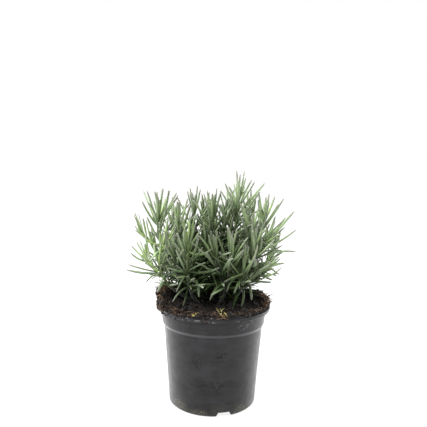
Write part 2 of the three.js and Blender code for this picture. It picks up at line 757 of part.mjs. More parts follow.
// Every stem with its shoots and leaves. The stems take their places first, then the leaves with
// a chosen tip, and then the pairs.
function growPlant() {
  const draw = drawsFrom(SEED);
  const plant = STEMS.map((stem) => ({ ...stem, shoots: growShoots(stem), leaves: [] }));
  plant.forEach((stem, owner) => stem.shoots.forEach((shoot) => takeShoot(shoot, owner)));
  plant.forEach((stem, owner) => growReachingLeaves(stem, stem.reach, owner));
  plant.forEach((stem, owner) => growPairs(stem, draw, owner));
  return plant;
}

// ---------------------------------------------------------------- leafy stems

// A square stem along a shoot, and down into its hole if it stands in the soil.
function shootBody(shoot, foot) {
  const stations = [];
  if (foot) {
    const [x, y] = foot;
    stations.push([vector([x, y, soilTop(x, y) - HOLE_DEPTH + GAP]), UP, STEM_FOOT_RADIUS]);
  }
  const steps = Math.round(shoot.length / STEM_STEP) + 1;
  for (let i = 0; i <= steps; i += 1) {
    const t = i / steps;
    stations.push([shootPoint(shoot, t), shootHeading(shoot, t), radiusAt(shoot, t)]);
  }
  if (foot) stations[1][1] = UP;
  let across = new THREE.Vector3(1, 0, 0);
  const rings = stations.map(([centre, heading, radius]) => {
    across = across.clone().addScaledVector(heading, -across.dot(heading)).normalize();
    const other = heading.clone().cross(across);
    return [0, 1, 2, 3].map((quarter) => {
      const turn = shoot.turn + (quarter * Math.PI) / 2;
      const corner = centre.clone().addScaledVector(across, radius * Math.cos(turn));
      return corner.addScaledVector(other, radius * Math.sin(turn));
    });
  });
  return loft(rings);
}

// A leaf's narrow blade: flat on its upper side, with the low ridge of its midrib below.
function bladeBody(leaf) {
  const { points, length, width, side, twist } = leaf;
  const rings = BLADES.find((blade) => length <= blade.upTo).rings.map(([step, wide, thick]) => {
    const along = points[step + 1].clone().sub(points[Math.max(0, step - 1)]).normalize();
    const across = side.clone().addScaledVector(along, -side.dot(along)).normalize();
    across.applyAxisAngle(along, (twist * step) / LEAF_STEPS);
    const under = across.clone().cross(along);
    const half = 0.5 * width * wide;
    const depth = LEAF_THICKNESS * thick;
    return [
      points[step].clone().addScaledVector(across, half).addScaledVector(under, -LEAF_ABOVE * depth),
      points[step].clone().addScaledVector(across, -half).addScaledVector(under, -LEAF_ABOVE * depth),
      points[step].clone().addScaledVector(under, (1 - LEAF_ABOVE) * depth),
    ];
  });
  return loft(rings, points[LEAF_STEPS]);
}

function leafyStemBody(stem) {
  let body = shootBody(stem.shoots[0], stem.foot);
  for (const shoot of stem.shoots.slice(1)) body = body.add(shootBody(shoot, null));
  for (const leaf of stem.leaves) body = body.add(bladeBody(leaf));
  return body;
}

// ---------------------------------------------------------------- the object

const potPlastic = new THREE.MeshStandardMaterial({ color: 0x2b2b2d, roughness: 0.45, metalness: 0 });
const peat = new THREE.MeshStandardMaterial({ color: 0x2c1f18, roughness: 0.95, metalness: 0 });
const leafGreen = new THREE.MeshStandardMaterial({ color: 0x6f8562, roughness: 0.7, metalness: 0 });

const lavender = new THREE.Group();
lavender.add(meshOf(potBody(), "pot", potPlastic));
lavender.add(meshOf(soilBody(), "soil", peat));
for (const stem of growPlant()) lavender.add(meshOf(leafyStemBody(stem), stem.name, leafGreen));

export default lavender;
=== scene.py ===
"""A young lavender in a black nursery pot: the looks, in metres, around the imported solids.

+Z is up, the pot stands at z = 0 on its axis, and -Y is the side that the plant shows to the front.
Sizes are named in millimetres, and MM turns them into metres where a mesh is made.
"""

import math
from types import SimpleNamespace

import bmesh
import bpy
import numpy as np
from mathutils import Euler, Matrix, Vector, noise


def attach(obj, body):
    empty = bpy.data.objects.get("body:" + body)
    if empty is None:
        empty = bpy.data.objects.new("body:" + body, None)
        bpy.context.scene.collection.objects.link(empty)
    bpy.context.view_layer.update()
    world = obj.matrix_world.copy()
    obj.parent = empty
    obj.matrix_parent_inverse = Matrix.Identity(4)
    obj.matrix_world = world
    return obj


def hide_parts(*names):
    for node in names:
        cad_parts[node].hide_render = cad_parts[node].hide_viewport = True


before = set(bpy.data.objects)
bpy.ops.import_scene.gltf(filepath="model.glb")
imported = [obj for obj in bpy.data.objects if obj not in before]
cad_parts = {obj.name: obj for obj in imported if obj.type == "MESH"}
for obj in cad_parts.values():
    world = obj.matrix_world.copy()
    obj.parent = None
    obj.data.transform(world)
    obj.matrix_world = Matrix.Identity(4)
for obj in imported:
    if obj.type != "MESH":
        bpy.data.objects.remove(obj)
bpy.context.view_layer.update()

MM = 0.001
CLOSE = 1e-7  # metres between points that count as one, or as level with each other

# ------------------------------------------------------------------ sizes of the pot, in mm

GAP = 0.35  # of air between two bodies
POT_SIDES = 144
POT_HEIGHT = 93
LIP_RADIUS = 52.5
LIP_DROP = 4.4
LIP_WALL = 1.2
WALL = 1.1
BAND_TOP_RADIUS = 48.8
BAND_FOOT_RADIUS = 47.4
BAND_FOOT_Z = 76.4
SHOULDER_Z = 73.6
BODY_TOP_RADIUS = 45.7
BODY_FOOT_RADIUS = 40.1
BODY_FOOT_Z = 1.7  # where the body starts, above the foot ring's bevel
FOOT_RADIUS = 38.5
PAD_RADIUS = 19.4  # of the flat pad in the middle of the foot
FLOOR_Z = 4.7  # the underside of the raised floor between the pad and the foot ring
FLOOR_WALL = 1.2
FLOOR_SLOPE = 1.6  # how far the step from the pad to the floor leans
RING_WIDTH = 1.4  # of the foot ring
RING_LEAN = 1
PAD_STEP = 0.4
FLOOR_EDGE = 0.7
SHOULDER_DROP = 0.2
LIP_LEAN = 0.3
RIM_EASE = 0.2
LIP_EDGE = 0.8
ROUNDING = 0.32  # radius on the pot's edges
SHARP_RING = 0.3  # radians between faces past which a ring of edges is rounded
CREASE = 0.7  # radians between faces past which the shading keeps an edge

NOTCH = {"count": 3, "foot": 14.4, "top": 10.3, "height": 4.3, "below": 1, "turn": 15.6, "depth": 10}
DRAIN = {"count": 6, "radius": 3.6, "circle": 29.5, "depth": 6, "sides": 24}

# ------------------------------------------------------------------ sizes of the soil, in mm

SOIL_SIDES = 200
SOIL_RINGS = 44  # of the surface, from its edge to the middle
SOIL_LEVEL = 96.5  # the surface in the middle of the pot, without the heaps
SOIL_SLOPE = 0.066  # how much it rises towards the back
SOIL_EDGE_RADIUS = 47.8
SOIL_LEAST = 0.7  # the surface stands at least this far above the rim
SOIL_TURN = 0.25  # share of the edge's height at which its middle ring stands
SOIL_EASE = 0.5  # of room at the corner of the pot's floor
# Heaps: x, y, height, spread.
HEAPS = [
    (-44, 4, 11, 9.5),
    (44, 7, 6.5, 9.5),
    (6, 38, 6, 17),
    (-24, 30, 4, 12),
    (-20, -34, 1.6, 8),
]
SWELL = {"height": 0.7, "along_x": 0.31, "along_y": 0.27, "start_x": 1.3, "start_y": 0.4}
RIPPLE = {"height": 0.4, "along_x": 0.71, "along_y": -0.52}
# Where the soil spills over the lip: direction in degrees, reach, half-width in degrees.
SPILLS = [
    (178, 5, 24),
    (6, 4.2, 20),
]
# The soil's lumps: size of a lump, and how far it lifts the surface.
LUMPS = [
    (5.5, 1.1),
    (2.1, 0.7),
    (0.9, 0.3),
]
STEM_DIP = {"depth": 1.2, "spread": 2.4}  # round each stem's foot
# Where the soil's edge has slumped: direction and half-width in degrees, width, drop and growth.
SLUMP = {"direction": 14, "half_width": 46, "width": 13, "drop": 9, "growth": 1.5}

# ------------------------------------------------------------------ sizes of the plant, in mm

HOLE_DEPTH = 12  # of the holes in the soil that the stems stand in
STEM_FOOT_RADIUS = 1.9
STEM_TIP_RADIUS = 1.05
STEM_RISE = 1.5  # how far above the soil a stem's curve starts
BRANCH_WIDTH = 0.9  # share of the stem's radius that a shoot branches off with
SHOOT_TURN = 0.9  # radians that each shoot is turned past the one before
SHOOT_STEP = 2  # between the places that a shoot takes up
CHORDS = 16  # straight pieces that a shoot's length is measured by

LEAF_WIDTH = 2.6
LEAF_STEPS = 16  # of a leaf's midline
TAPER = {"root": 0.5, "root_growth": 1.6, "tip": 0.2, "tip_growth": 2.4}
FIRST_PAIR = 1.5  # below a shoot's tip
PAIR_GAP = 5.05
PAIR_GAP_GROWTH = 0.14
LENGTH = {"at_tip": 22, "growth": 0.95, "most": 41}
SPREAD = {"at_tip": 9, "growth": 1.5, "most": 76}  # degrees between a leaf and its shoot
LIFT = {"at_tip": 0.55, "growth": -0.024}  # how much a leaf bends up
STRAY = {"turn": 0.4, "spread": 16, "lift": 0.5, "size": 0.26, "twist": 0.9}
LEAST_SIZE = 0.86
ATTEMPTS = 14  # at a leaf that is in the way
ATTEMPT_STRAY = 0.3  # how much wilder each one is
ATTEMPT_LOSS = 0.035  # how much shorter each one is
LEAF_CLEARANCE = 0.45
CROWN = {"half_width": 66, "half_depth": 64, "top": 213, "foot": 112}
OWN_CLEARANCE = 0.1  # between a stem's own leaves
OWN_CLOSENESS = 0.45
REACH_TURN = 0.8  # radians that a reaching leaf is turned about its line
ROOT_DEPTH = 0.5  # how far out from a shoot's middle the leaves start, as a share of its radius
ROOT_STEPS = 4  # of a midline, along which a stem's own leaves may touch
LIP_MARGIN = 3
CELL = 5  # neighbours further away than this are never in a leaf's way
SEED = 20747

# The leafy stems. Each has its foot in the soil, and shoots with a knee that pulls the curve
# and a tip. A shoot with "from" branches off the first one at that share of its length.
# "bare" is the share of a shoot without leaves, "fresh" how bright a green the stem has, and
# "reach" lists leaves that grow to a chosen tip: shoot, distance below the shoot's tip, the
# leaf's tip, and how far its middle hangs.
STEMS = [
    {
        "name": "leafy_stem_left_tall",
        "fresh": 0.8,
        "foot": [-15, 3],
        "shoots": [
            {"knee": [-57, -3, 130], "tip": [-52, 0, 177], "bare": 0.3},
            {"from": 0.66, "knee": [-61, -5, 146], "tip": [-66, -5, 158], "bare": 0.1},
        ],
        "reach": [
            [0, 9, [-63, -1, 196.6], 1.5],
            [0, 13, [-67.4, -2, 187], 2.2],
            [0, 8, [-42, 1, 197.5], 1.8],
            [0, 10, [-36, 5, 195], 0.6],
            [0, 14, [-34, -6, 193.6], 0.4],
            [1, 1, [-72.6, -5, 173.4], 4.5],
        ],
    },
    {
        "name": "leafy_stem_left_low",
        "fresh": 0.85,
        "foot": [-21, -9],
        "shoots": [
            {"knee": [-60, -22, 119], "tip": [-45, -21, 151], "bare": 0.28},
            {"from": 0.52, "knee": [-57, -20, 130], "tip": [-61, -18, 137], "bare": 0.1},
        ],
        "reach": [
            [1, 2, [-75.4, -14, 147.6], 1.0],
            [1, 4, [-75, -20, 142], 2.0],
            [0, 30, [-78.1, -16, 130.8], 1.0],
            [0, 31, [-78.6, -24, 127.6], 1.5],
            [0, 33, [-60, -30, 117.5], -3.5],
            [0, 42, [-50, -28, 108], -3.0],
        ],
    },
    {
        "name": "leafy_stem_front_left",
        "fresh": 1.0,
        "foot": [-14, -17],
        "shoots": [
            {"knee": [-27, -32, 112], "tip": [-22.5, -31, 157], "bare": 0.4},
        ],
        "reach": [
            [0, 24, [4.5, -43, 135], 2.6],
            [0, 24.5, [-40, -38, 133], 0.8],
            [0, 26, [-32.5, -39, 112], -2.5],
            [0, 22, [-34.5, -24, 161], 0.5],
            [0, 8, [-2, -40, 151], 4.5],
            [0, 30, [-17, -44, 122], -0.8],
            [0, 40, [-36, -36, 102], -4.0],
        ],
    },
    {
        "name": "leafy_stem_left_inner",
        "fresh": 0.5,
        "foot": [-9, -4],
        "shoots": [
            {"knee": [-32, -9, 116], "tip": [-34, -10, 169], "bare": 0.3},
            {"from": 0.4, "knee": [-30, -18, 125], "tip": [-36, -27, 143], "bare": 0.2},
        ],
        "reach": [
            [0, 3, [-39.5, -8, 192], 0.6],
            [0, 3, [-32.2, -12, 189.5], 0.4],
            [0, 7, [-25, -10, 191.4], 1.2],
            [0, 12, [-22, -14, 187], 1.2],
        ],
    },
    {
        "name": "leafy_stem_back_left",
        "fresh": 0.3,
        "foot": [-8, 10],
        "shoots": [
            {"knee": [-20, 13, 118], "tip": [-20.5, 15, 178], "bare": 0.4},
            {"from": 0.45, "knee": [-10, 22, 142], "tip": [-9.5, 24, 175], "bare": 0.2},
            {"from": 0.3, "knee": [-36, 22, 122], "tip": [-40, 26, 160], "bare": 0.2},
        ],
        "reach": [
            [0, 3, [-24.5, 15, 199], 0.3],
            [0, 5, [-14.5, 16, 198], 0.8],
        ],
    },
    {
        "name": "leafy_stem_centre",
        "fresh": 0.35,
        "foot": [-1, 0],
        "shoots": [
            {"knee": [-3, -7, 130], "tip": [-2.5, -5, 177], "bare": 0.4},
            {"from": 0.35, "knee": [-8, -20, 130], "tip": [-7, -22, 150], "bare": 0.4},
            {"from": 0.45, "knee": [7, 3, 142], "tip": [9, 6, 171], "bare": 0.25},
        ],
        "reach": [
            [0, 3, [-8, -6, 198], 0.5],
            [0, 4, [4.7, -5, 197.5], 0.8],
        ],
    },
    {
        "name": "leafy_stem_front_centre",
        "fresh": 0.45,
        "foot": [6, -14],
        "shoots": [
            {"knee": [14, -32, 116], "tip": [13.5, -34, 149], "bare": 0.45},
            {"from": 0.42, "knee": [3, -30, 124], "tip": [0, -34, 146], "bare": 0.4},
        ],
        "reach": [
            [0, 11, [4, -46, 149], 1.5],
            [0, 11, [24, -47, 151.5], 1.2],
        ],
    },
    {
        "name": "leafy_stem_tallest",
        "fresh": 0.35,
        "foot": [7, 4],
        "shoots": [
            {"knee": [17, 2, 135], "tip": [21, 0, 190], "bare": 0.36},
            {"from": 0.38, "knee": [40, -12, 138], "tip": [30, -13, 166], "bare": 0.25},
        ],
        "reach": [
            [0, 2, [18.5, 0, 216.4], 0.8],
            [0, 2, [25.8, 1, 216.6], 0.9],
            [0, 9, [21.6, -6, 213.5], 0.6],
            [0, 14, [31.6, -6, 193], 0.8],
            [0, 10, [8, 0, 205], 0.8],
            [0, 7, [35.7, 3, 206.7], 1.0],
            [0, 13, [45.4, 5, 205.7], 0.4],
        ],
    },
    {
        "name": "leafy_stem_right_tall",
        "fresh": 0.75,
        "foot": [14.5, 2],
        "shoots": [
            {"knee": [38, 0, 124], "tip": [45, 0, 173], "bare": 0.3},
            {"from": 0.5, "knee": [34, 12, 152], "tip": [33, 15, 174], "bare": 0.15},
        ],
        "reach": [
            [0, 4, [38.8, -3, 198], 1.0],
            [0, 2, [49.5, 5, 195.7], 0.6],
            [0, 5, [54.2, -1, 193.8], 1.0],
            [0, 11, [62.6, 0, 191.8], 0.4],
        ],
    },
    {
        "name": "leafy_stem_right",
        "fresh": 0.35,
        "foot": [19, -6],
        "shoots": [
            {"knee": [30, -10, 128], "tip": [46, -10, 153], "bare": 0.3},
            {"from": 0.45, "knee": [34, -20, 132], "tip": [34, -28, 150], "bare": 0.2},
        ],
        "reach": [
            [0, 9, [71.4, -8, 181.2], 0.4],
            [0, 6, [63, -13, 176], 0.8],
            [0, 11, [55, -4, 171.5], 1.6],
            [0, 12, [73.3, -12, 165], 1.8],
            [0, 8, [59.5, -17, 160.7], -2.4],
            [0, 20, [73.7, -12, 144.6], -3.0],
        ],
    },
    {
        "name": "leafy_stem_right_low",
        "fresh": 0.45,
        "foot": [16, -15],
        "shoots": [
            {"knee": [26, -20, 114], "tip": [43, -18, 128], "bare": 0.4},
            {"from": 0.35, "knee": [24, -30, 116], "tip": [26, -34, 136], "bare": 0.35},
        ],
        "reach": [
            [0, 4, [63.5, -13, 134], -2.0],
            [0, 3, [57.4, -22, 142], 1.0],
            [0, 6, [57, -20, 126.5], 1.2],
            [0, 12, [51.5, -22, 118.5], 1.0],
            [1, 8, [8, -47, 123], -1.2],
            [1, 12, [17, -44, 112.5], -2.5],
            [0, 16, [33, -33, 104], -3.5],
        ],
    },
    {
        "name": "leafy_stem_back_right",
        "fresh": 0.3,
        "foot": [11, 12],
        "shoots": [
            {"knee": [34, 22, 118], "tip": [43, 26, 161], "bare": 0.3},
            {"from": 0.4, "knee": [16, 26, 134], "tip": [14, 29, 176], "bare": 0.25},
            {"from": 0.3, "knee": [48, 16, 116], "tip": [57, 17, 142], "bare": 0.2},
        ],
        "reach": [],
    },
    {
        "name": "leafy_stem_back",
        "fresh": 0.3,
        "foot": [0, 18],
        "shoots": [
            {"knee": [-6, 42, 116], "tip": [-6, 45, 158], "bare": 0.3},
            {"from": 0.35, "knee": [20, 42, 116], "tip": [27, 47, 145], "bare": 0.2},
            {"from": 0.35, "knee": [-24, 42, 114], "tip": [-31, 45, 146], "bare": 0.2},
        ],
        "reach": [],
    },
    {
        "name": "leafy_stem_back_low",
        "fresh": 0.35,
        "foot": [-17, 13],
        "shoots": [
            {"knee": [-46, 20, 110], "tip": [-57, 22, 140], "bare": 0.3},
            {"from": 0.35, "knee": [-36, 40, 112], "tip": [-44, 44, 128], "bare": 0.2},
        ],
        "reach": [],
    },
]

# ------------------------------------------------------------------ seeded draws and the ground


def draws_from(seed):
    """Seeded draws between 0 and 1, the same on every run."""
    state = seed

    def draw():
        nonlocal state
        state = state * 16807 % 2147483647
        return state / 2147483647

    return draw


def drawn_between(draw, ends):
    low, high = ends
    return low + (high - low) * draw()


def drawn_above(draw, values):
    """A draw that is at least the first value, and more than it by at most the second."""
    least, more = values
    return least + more * draw()


def soil_top(x, y):
    """The height of the soil's surface, before its lumps."""
    z = SOIL_LEVEL + SOIL_SLOPE * y
    for cx, cy, height, spread in HEAPS:
        z = z + height * np.exp(-((x - cx) ** 2 + (y - cy) ** 2) / (2 * spread * spread))
    along_x = np.sin(SWELL["along_x"] * x + SWELL["start_x"])
    along_y = np.cos(SWELL["along_y"] * y + SWELL["start_y"])
    ripple = np.sin(RIPPLE["along_x"] * x + RIPPLE["along_y"] * y)
    z = z + SWELL["height"] * (along_x * along_y) + RIPPLE["height"] * ripple
    return np.maximum(z, POT_HEIGHT + SOIL_LEAST)


def degrees_off(turn, direction):
    """How far a turn in radians is from a direction in degrees, from -180 to 180."""
    return (math.degrees(turn) - direction + 180) % 360 - 180


def soil_edge(turn):
    """The radius of the soil's edge above the rim, in one direction."""
    radius = SOIL_EDGE_RADIUS
    for direction, reach, half_width in SPILLS:
        radius += reach * math.exp(-((degrees_off(turn, direction) / half_width) ** 2))
    return radius


# ------------------------------------------------------------------ layout of the plant, in mm

UP = np.array([0.0, 0.0, 1.0])
SIDE = np.array([1.0, 0.0, 0.0])
MIDLINE = np.arange(LEAF_STEPS + 1)


def unit(vector):
    return vector / math.sqrt(vector @ vector)


def turned_about(vector, axis, angle):
    """A vector turned about a unit axis."""
    along = axis * (axis @ vector)
    return along + (vector - along) * math.cos(angle) + np.cross(axis, vector) * math.sin(angle)


def shoot_point(shoot, t):
    return (1 - t) * (1 - t) * shoot.start + 2 * t * (1 - t) * shoot.knee + t * t * shoot.tip


def shoot_heading(shoot, t):
    return unit((1 - t) * (shoot.knee - shoot.start) + t * (shoot.tip - shoot.knee))


def radius_at(shoot, t):
    return shoot.width + t * (STEM_TIP_RADIUS - shoot.width)


def grow_shoots(stem):
    """A stem's shoots with their start, length and radii worked out."""
    shoots = []
    for given in stem["shoots"]:
        knee = np.array(given["knee"], float)
        tip = np.array(given["tip"], float)
        shoot = SimpleNamespace(knee=knee, tip=tip, bare=given["bare"], pairs=[])
        x, y = stem["foot"]
        shoot.turn = SHOOT_TURN * (len(shoots) + x)
        if "from" in given:
            shoot.start = shoot_point(shoots[0], given["from"])
            shoot.width = BRANCH_WIDTH * radius_at(shoots[0], given["from"])
        else:
            shoot.start = np.array([x, y, soil_top(x, y) + STEM_RISE])
            shoot.width = STEM_FOOT_RADIUS
        ends = [shoot_point(shoot, i / CHORDS) for i in range(CHORDS + 1)]
        shoot.length = sum(math.dist(a, b) for a, b in zip(ends, ends[1:]))
        shoots.append(shoot)
    return shoots


class Places:
    """The places that stems and leaves have taken, each with its radius, owner and step."""

    def __init__(self):
        self.rows = np.empty((0, 6))

    def take(self, points, radii, owner, steps):
        count = len(points)
        rows = np.column_stack([points, radii, np.full(count, owner), steps])
        self.rows = np.vstack([self.rows, rows])

    def near(self, points):
        """The taken places close enough to matter to these points."""
        low = points.min(axis=0) - CELL
        high = points.max(axis=0) + CELL
        inside = ((self.rows[:, :3] > low) & (self.rows[:, :3] < high)).all(axis=1)
        return self.rows[inside]


def half_widths(width):
    """A leaf's half-width at each step of its midline."""
    share = MIDLINE / LEAF_STEPS
    from_root = np.minimum(1, TAPER["root"] + TAPER["root_growth"] * share)
    from_tip = np.minimum(1, TAPER["tip"] + TAPER["tip_growth"] * (1 - share))
    return 0.5 * width * from_root * from_tip


def is_clear(places, leaf, owner, crowding=1):
    """Whether a leaf keeps clear of other stems' places, the soil and the pot's lip."""
    radii = half_widths(leaf.width)
    x, y, z = leaf.points.T
    ground = np.where(np.hypot(x, y) < LIP_RADIUS + LIP_MARGIN, soil_top(x, y), 0)
    if (z < ground + radii + LEAF_CLEARANCE).any():
        return False
    near = places.near(leaf.points)
    gaps = np.linalg.norm(near[:, None, :3] - leaf.points[None], axis=2)
    reach = near[:, 3, None] + radii[None]
    rooted = (near[:, 5, None] < ROOT_STEPS) | (MIDLINE[None] < ROOT_STEPS)
    among_own = np.where(rooted, 0, OWN_CLOSENESS * reach + OWN_CLEARANCE)
    needed = np.where(near[:, 4, None] == owner, among_own, reach + LEAF_CLEARANCE)
    return bool((gaps >= crowding * needed).all())


def is_in_crown(leaf):
    """Whether a leaf stays within the plant's rounded outline."""
    x, y, z = leaf.points[-1]
    if z > CROWN["top"] or z < CROWN["foot"]:
        return False
    return math.hypot(x / CROWN["half_width"], y / CROWN["half_depth"]) < 1


def keep_leaf(places, stem, leaf, owner):
    places.take(leaf.points, half_widths(leaf.width), owner, MIDLINE)
    stem.leaves.append(leaf)


def bending_midline(root, heading, lift, length):
    """A midline that sets out along a heading and bends up, or down with a negative lift."""
    points = [root]
    for i in range(LEAF_STEPS):
        along = unit(heading + UP * (lift * (i + 0.5) / LEAF_STEPS))
        points.append(points[-1] + along * (length / LEAF_STEPS))
    return np.array(points)


def reaching_midline(root, tip, sag):
    """A midline from the root to a chosen tip, its middle hanging below the straight line."""
    t = (MIDLINE / LEAF_STEPS)[:, None]
    return root + (tip - root) * t - UP * (4 * sag) * t * (1 - t)


def pair_leaf(shoot, below, azimuth, draw, attempt):
    """One leaf of a pair, on the side of the shoot that the azimuth gives."""
    t = max(0, 1 - below / shoot.length)
    stray = 1 + ATTEMPT_STRAY * attempt
    heading = shoot_heading(shoot, t)
    sideways = unit(SIDE - heading * heading[0])
    outward = turned_about(sideways, heading, azimuth + (draw() - 0.5) * STRAY["turn"] * stray)
    opening = min(SPREAD["most"], SPREAD["at_tip"] + SPREAD["growth"] * below)
    spread = math.radians(opening + (draw() - 0.5) * STRAY["spread"] * stray)
    lift = LIFT["at_tip"] + LIFT["growth"] * below + (draw() - 0.5) * STRAY["lift"] * stray
    size = min(LENGTH["most"], LENGTH["at_tip"] + LENGTH["growth"] * below)
    length = size * (LEAST_SIZE + STRAY["size"] * draw()) * (1 - ATTEMPT_LOSS * attempt)
    width = LEAF_WIDTH * (LEAST_SIZE + STRAY["size"] * draw())
    twist = (draw() - 0.5) * STRAY["twist"]
    start = heading * math.cos(spread) + outward * math.sin(spread)
    side = unit(np.cross(heading, outward))
    root = shoot_point(shoot, t) + outward * ROOT_DEPTH * radius_at(shoot, t)
    points = bending_midline(root, start, lift, length)
    return SimpleNamespace(points=points, length=length, width=width, side=side, twist=twist, below=below)


def reaching_leaf(shoot, below, tip, sag, turn):
    """One leaf that grows from the middle of the shoot to a chosen tip, turned about its line."""
    t = max(0, 1 - below / shoot.length)
    root = shoot_point(shoot, t)
    points = reaching_midline(root, tip, sag)
    along = unit(tip - root)
    side = turned_about(unit(np.cross(shoot_heading(shoot, t), along)), along, turn)
    length = math.dist(root, tip)
    return SimpleNamespace(points=points, length=length, width=LEAF_WIDTH, side=side, twist=0, below=below)


def take_shoot(places, shoot, owner):
    steps = math.ceil(shoot.length / SHOOT_STEP)
    shares = [i / steps for i in range(steps + 1)]
    points = [shoot_point(shoot, t) for t in shares]
    radii = [radius_at(shoot, t) for t in shares]
    places.take(points, radii, owner, np.full(len(shares), LEAF_STEPS))


def grow_reaching_leaves(places, stem, owner):
    for i, (shoot, below, tip, sag) in enumerate(stem.reach):
        turn = -REACH_TURN if i % 2 else REACH_TURN
        leaf = reaching_leaf(stem.shoots[shoot], below, np.array(tip, float), sag, turn)
        if is_clear(places, leaf, owner):
            keep_leaf(places, stem, leaf, owner)
    stem.reaching = len(stem.leaves)


def grow_clear_leaf(places, stem, shoot, below, azimuth, draw, owner):
    """A leaf of a pair, bent this way and that until it is clear, or left out."""
    for attempt in range(ATTEMPTS):
        leaf = pair_leaf(shoot, below, azimuth, draw, attempt)
        if is_in_crown(leaf) and is_clear(places, leaf, owner):
            keep_leaf(places, stem, leaf, owner)
            return


def grow_pairs(places, stem, draw, owner):
    """A stem's pairs of leaves, from each shoot's tip down, each pair across the one above."""
    for shoot in stem.shoots:
        lowest = (1 - shoot.bare) * shoot.length
        azimuth = shoot.turn + math.pi / 4
        below = FIRST_PAIR
        while below < lowest:
            for half in (0, math.pi):
                grow_clear_leaf(places, stem, shoot, below, azimuth + half, draw, owner)
            shoot.pairs.append((below, azimuth))
            azimuth += math.pi / 2
            below += PAIR_GAP + PAIR_GAP_GROWTH * below


def grow_plant():
    """Every stem with its shoots and leaves, where the solids have them."""
    places = Places()
    draw = draws_from(SEED)
    plant = []
    for given in STEMS:
        stem = SimpleNamespace(name=given["name"], foot=given["foot"], fresh=given["fresh"], leaves=[])
        stem.reach = given["reach"]
        stem.shoots = grow_shoots(given)
        plant.append(stem)
    for owner, stem in enumerate(plant):
        for shoot in stem.shoots:
            take_shoot(places, shoot, owner)
    for owner, stem in enumerate(plant):
        grow_reaching_leaves(places, stem, owner)
    for owner, stem in enumerate(plant):
        grow_pairs(places, stem, draw, owner)
    return plant, places


# ------------------------------------------------------------------ small growth between the pairs

FILL_SEED = 8117
FILL_GAP = 2.0  # between the leaves that fill a shoot's gaps
FILL_FIRST = 0.4  # of a gap, between a shoot's tip and the first of them
FILL_STRAY = (0.7, 0.6)  # of a gap: the least, and how much more at the most
FILL_OPEN = {"depth": 24, "gaps": 3.0}  # down to this far below a tip they are further apart
FILL_BARE = {"front": 0.8, "back": 0.35}  # how much of a shoot's bare part they leave bare
FILL_SIZES = (0.4, 0.95)  # share of a pair leaf's size
FILL_NARROWING = 0.4  # how far the width follows the size
FILL_CROWDING = 0.6  # how much of the usual room they need
FILL_ATTEMPTS = 8
FILL_CROWN = {"middle": -5, "half_width": 54, "half_depth": 58}  # the small leaves keep within it
FILL_CURL = 2  # radians that their midlines may bend sideways, from one side to the other
FRONT_FEET = -8  # stems with their foot in front of this stand clear, the others are filled in
GOLDEN_TURN = 2.4  # radians between leaves that follow each other round a shoot
# How far the pairs' tips bend, in radians from one side to the other, and how far below a
# shoot's tip the first ones grow that bend fully.
PAIR_BENDS = {"sideways": 1.3, "up": 0.8, "growth": 1.8, "first": 9}
SMALL = {"breadth": 0.4, "stray": 0.2, "lift": 0.5}  # widths as shares of a leaf's
BUD_LEAVES = 7  # upright young leaves round the tip of each shoot
BUD_BREADTH = 0.7
BUD_SIZES = (0.5, 1.0)
BUD_ANGLES = (1, 8)  # degrees between them and the shoot
BUD_DEPTH = 15  # how far down from the tip they grow
AXIL_SIZES = (0.2, 0.52)  # of the small leaves in the corner between a leaf and the shoot
AXIL_ANGLES = (15, 82)  # degrees between them and the shoot
AXIL_TURNS = (-0.5, 0.1, 0.6)
AXIL_LEAST = 9  # how far below a shoot's tip the first of them grow
# Leaves low on a shoot. "reach" is how far past its bare part they grow, as a share of the shoot.
DROOPING = {
    "leaves": 6,
    "reach": 0.25,
    "angles": (40, 80),
    "lengths": (16, 36),
    "breadth": 0.7,
    "lift": -3.5,
    "clearance": 1.2,
}
UNDERGROWTH = {
    "front": 10,
    "back": 60,
    "reach": 0.35,
    "angles": (20, 95),
    "lengths": (8, 27),
    "breadth": SMALL["breadth"],
    "lift": SMALL["lift"],
    "clearance": 0.8,
    # the least painted shade that these leaves carry
    "inner": 0.6,
    "least_inner": 0.45,
}


def shrink(leaf, share):
    """Makes a leaf shorter, and a little narrower."""
    leaf.points = leaf.points[0] + (leaf.points - leaf.points[0]) * share
    leaf.length *= share
    leaf.width *= share ** FILL_NARROWING


def leaf_normal(leaf):
    """The direction square to a leaf's face, at its root."""
    return unit(np.cross(leaf.side, leaf.points[1] - leaf.points[0]))


def bend(leaf, axis, angle, growth=1):
    """Bends a leaf's midline about an axis, more and more towards its tip."""
    steps = np.diff(leaf.points, axis=0)
    points = [leaf.points[0]]
    for i, step in enumerate(steps):
        share = (i / LEAF_STEPS) ** growth
        points.append(points[-1] + turned_about(step, axis, angle * share))
    leaf.points = np.array(points)


def curl(leaf, draw):
    """Bends a leaf sideways, one way or the other."""
    bend(leaf, leaf_normal(leaf), FILL_CURL * (draw() - 0.5))


def bend_pairs(stem, draw):
    """Bends the tips of a stem's pairs of leaves a little, each in its own way."""
    for leaf in stem.leaves[stem.reaching:]:
        room = min(1, leaf.below / PAIR_BENDS["first"])
        sideways = room * PAIR_BENDS["sideways"] * (draw() - 0.5)
        up = room * PAIR_BENDS["up"] * (draw() - 0.5)
        bend(leaf, leaf_normal(leaf), sideways, PAIR_BENDS["growth"])
        bend(leaf, leaf.side, up, PAIR_BENDS["growth"])


def is_in_fill(leaf):
    """Whether a small leaf stays short of the outline, where only longer leaves show."""
    x, y, _ = leaf.points[-1]
    across = (x - FILL_CROWN["middle"]) / FILL_CROWN["half_width"]
    return math.hypot(across, y / FILL_CROWN["half_depth"]) < 1


def is_in_front(stem):
    return stem.foot[1] < FRONT_FEET


def is_above_soil(leaf, clearance):
    x, y, z = leaf.points.T
    return (z > soil_top(x, y) + clearance).all()


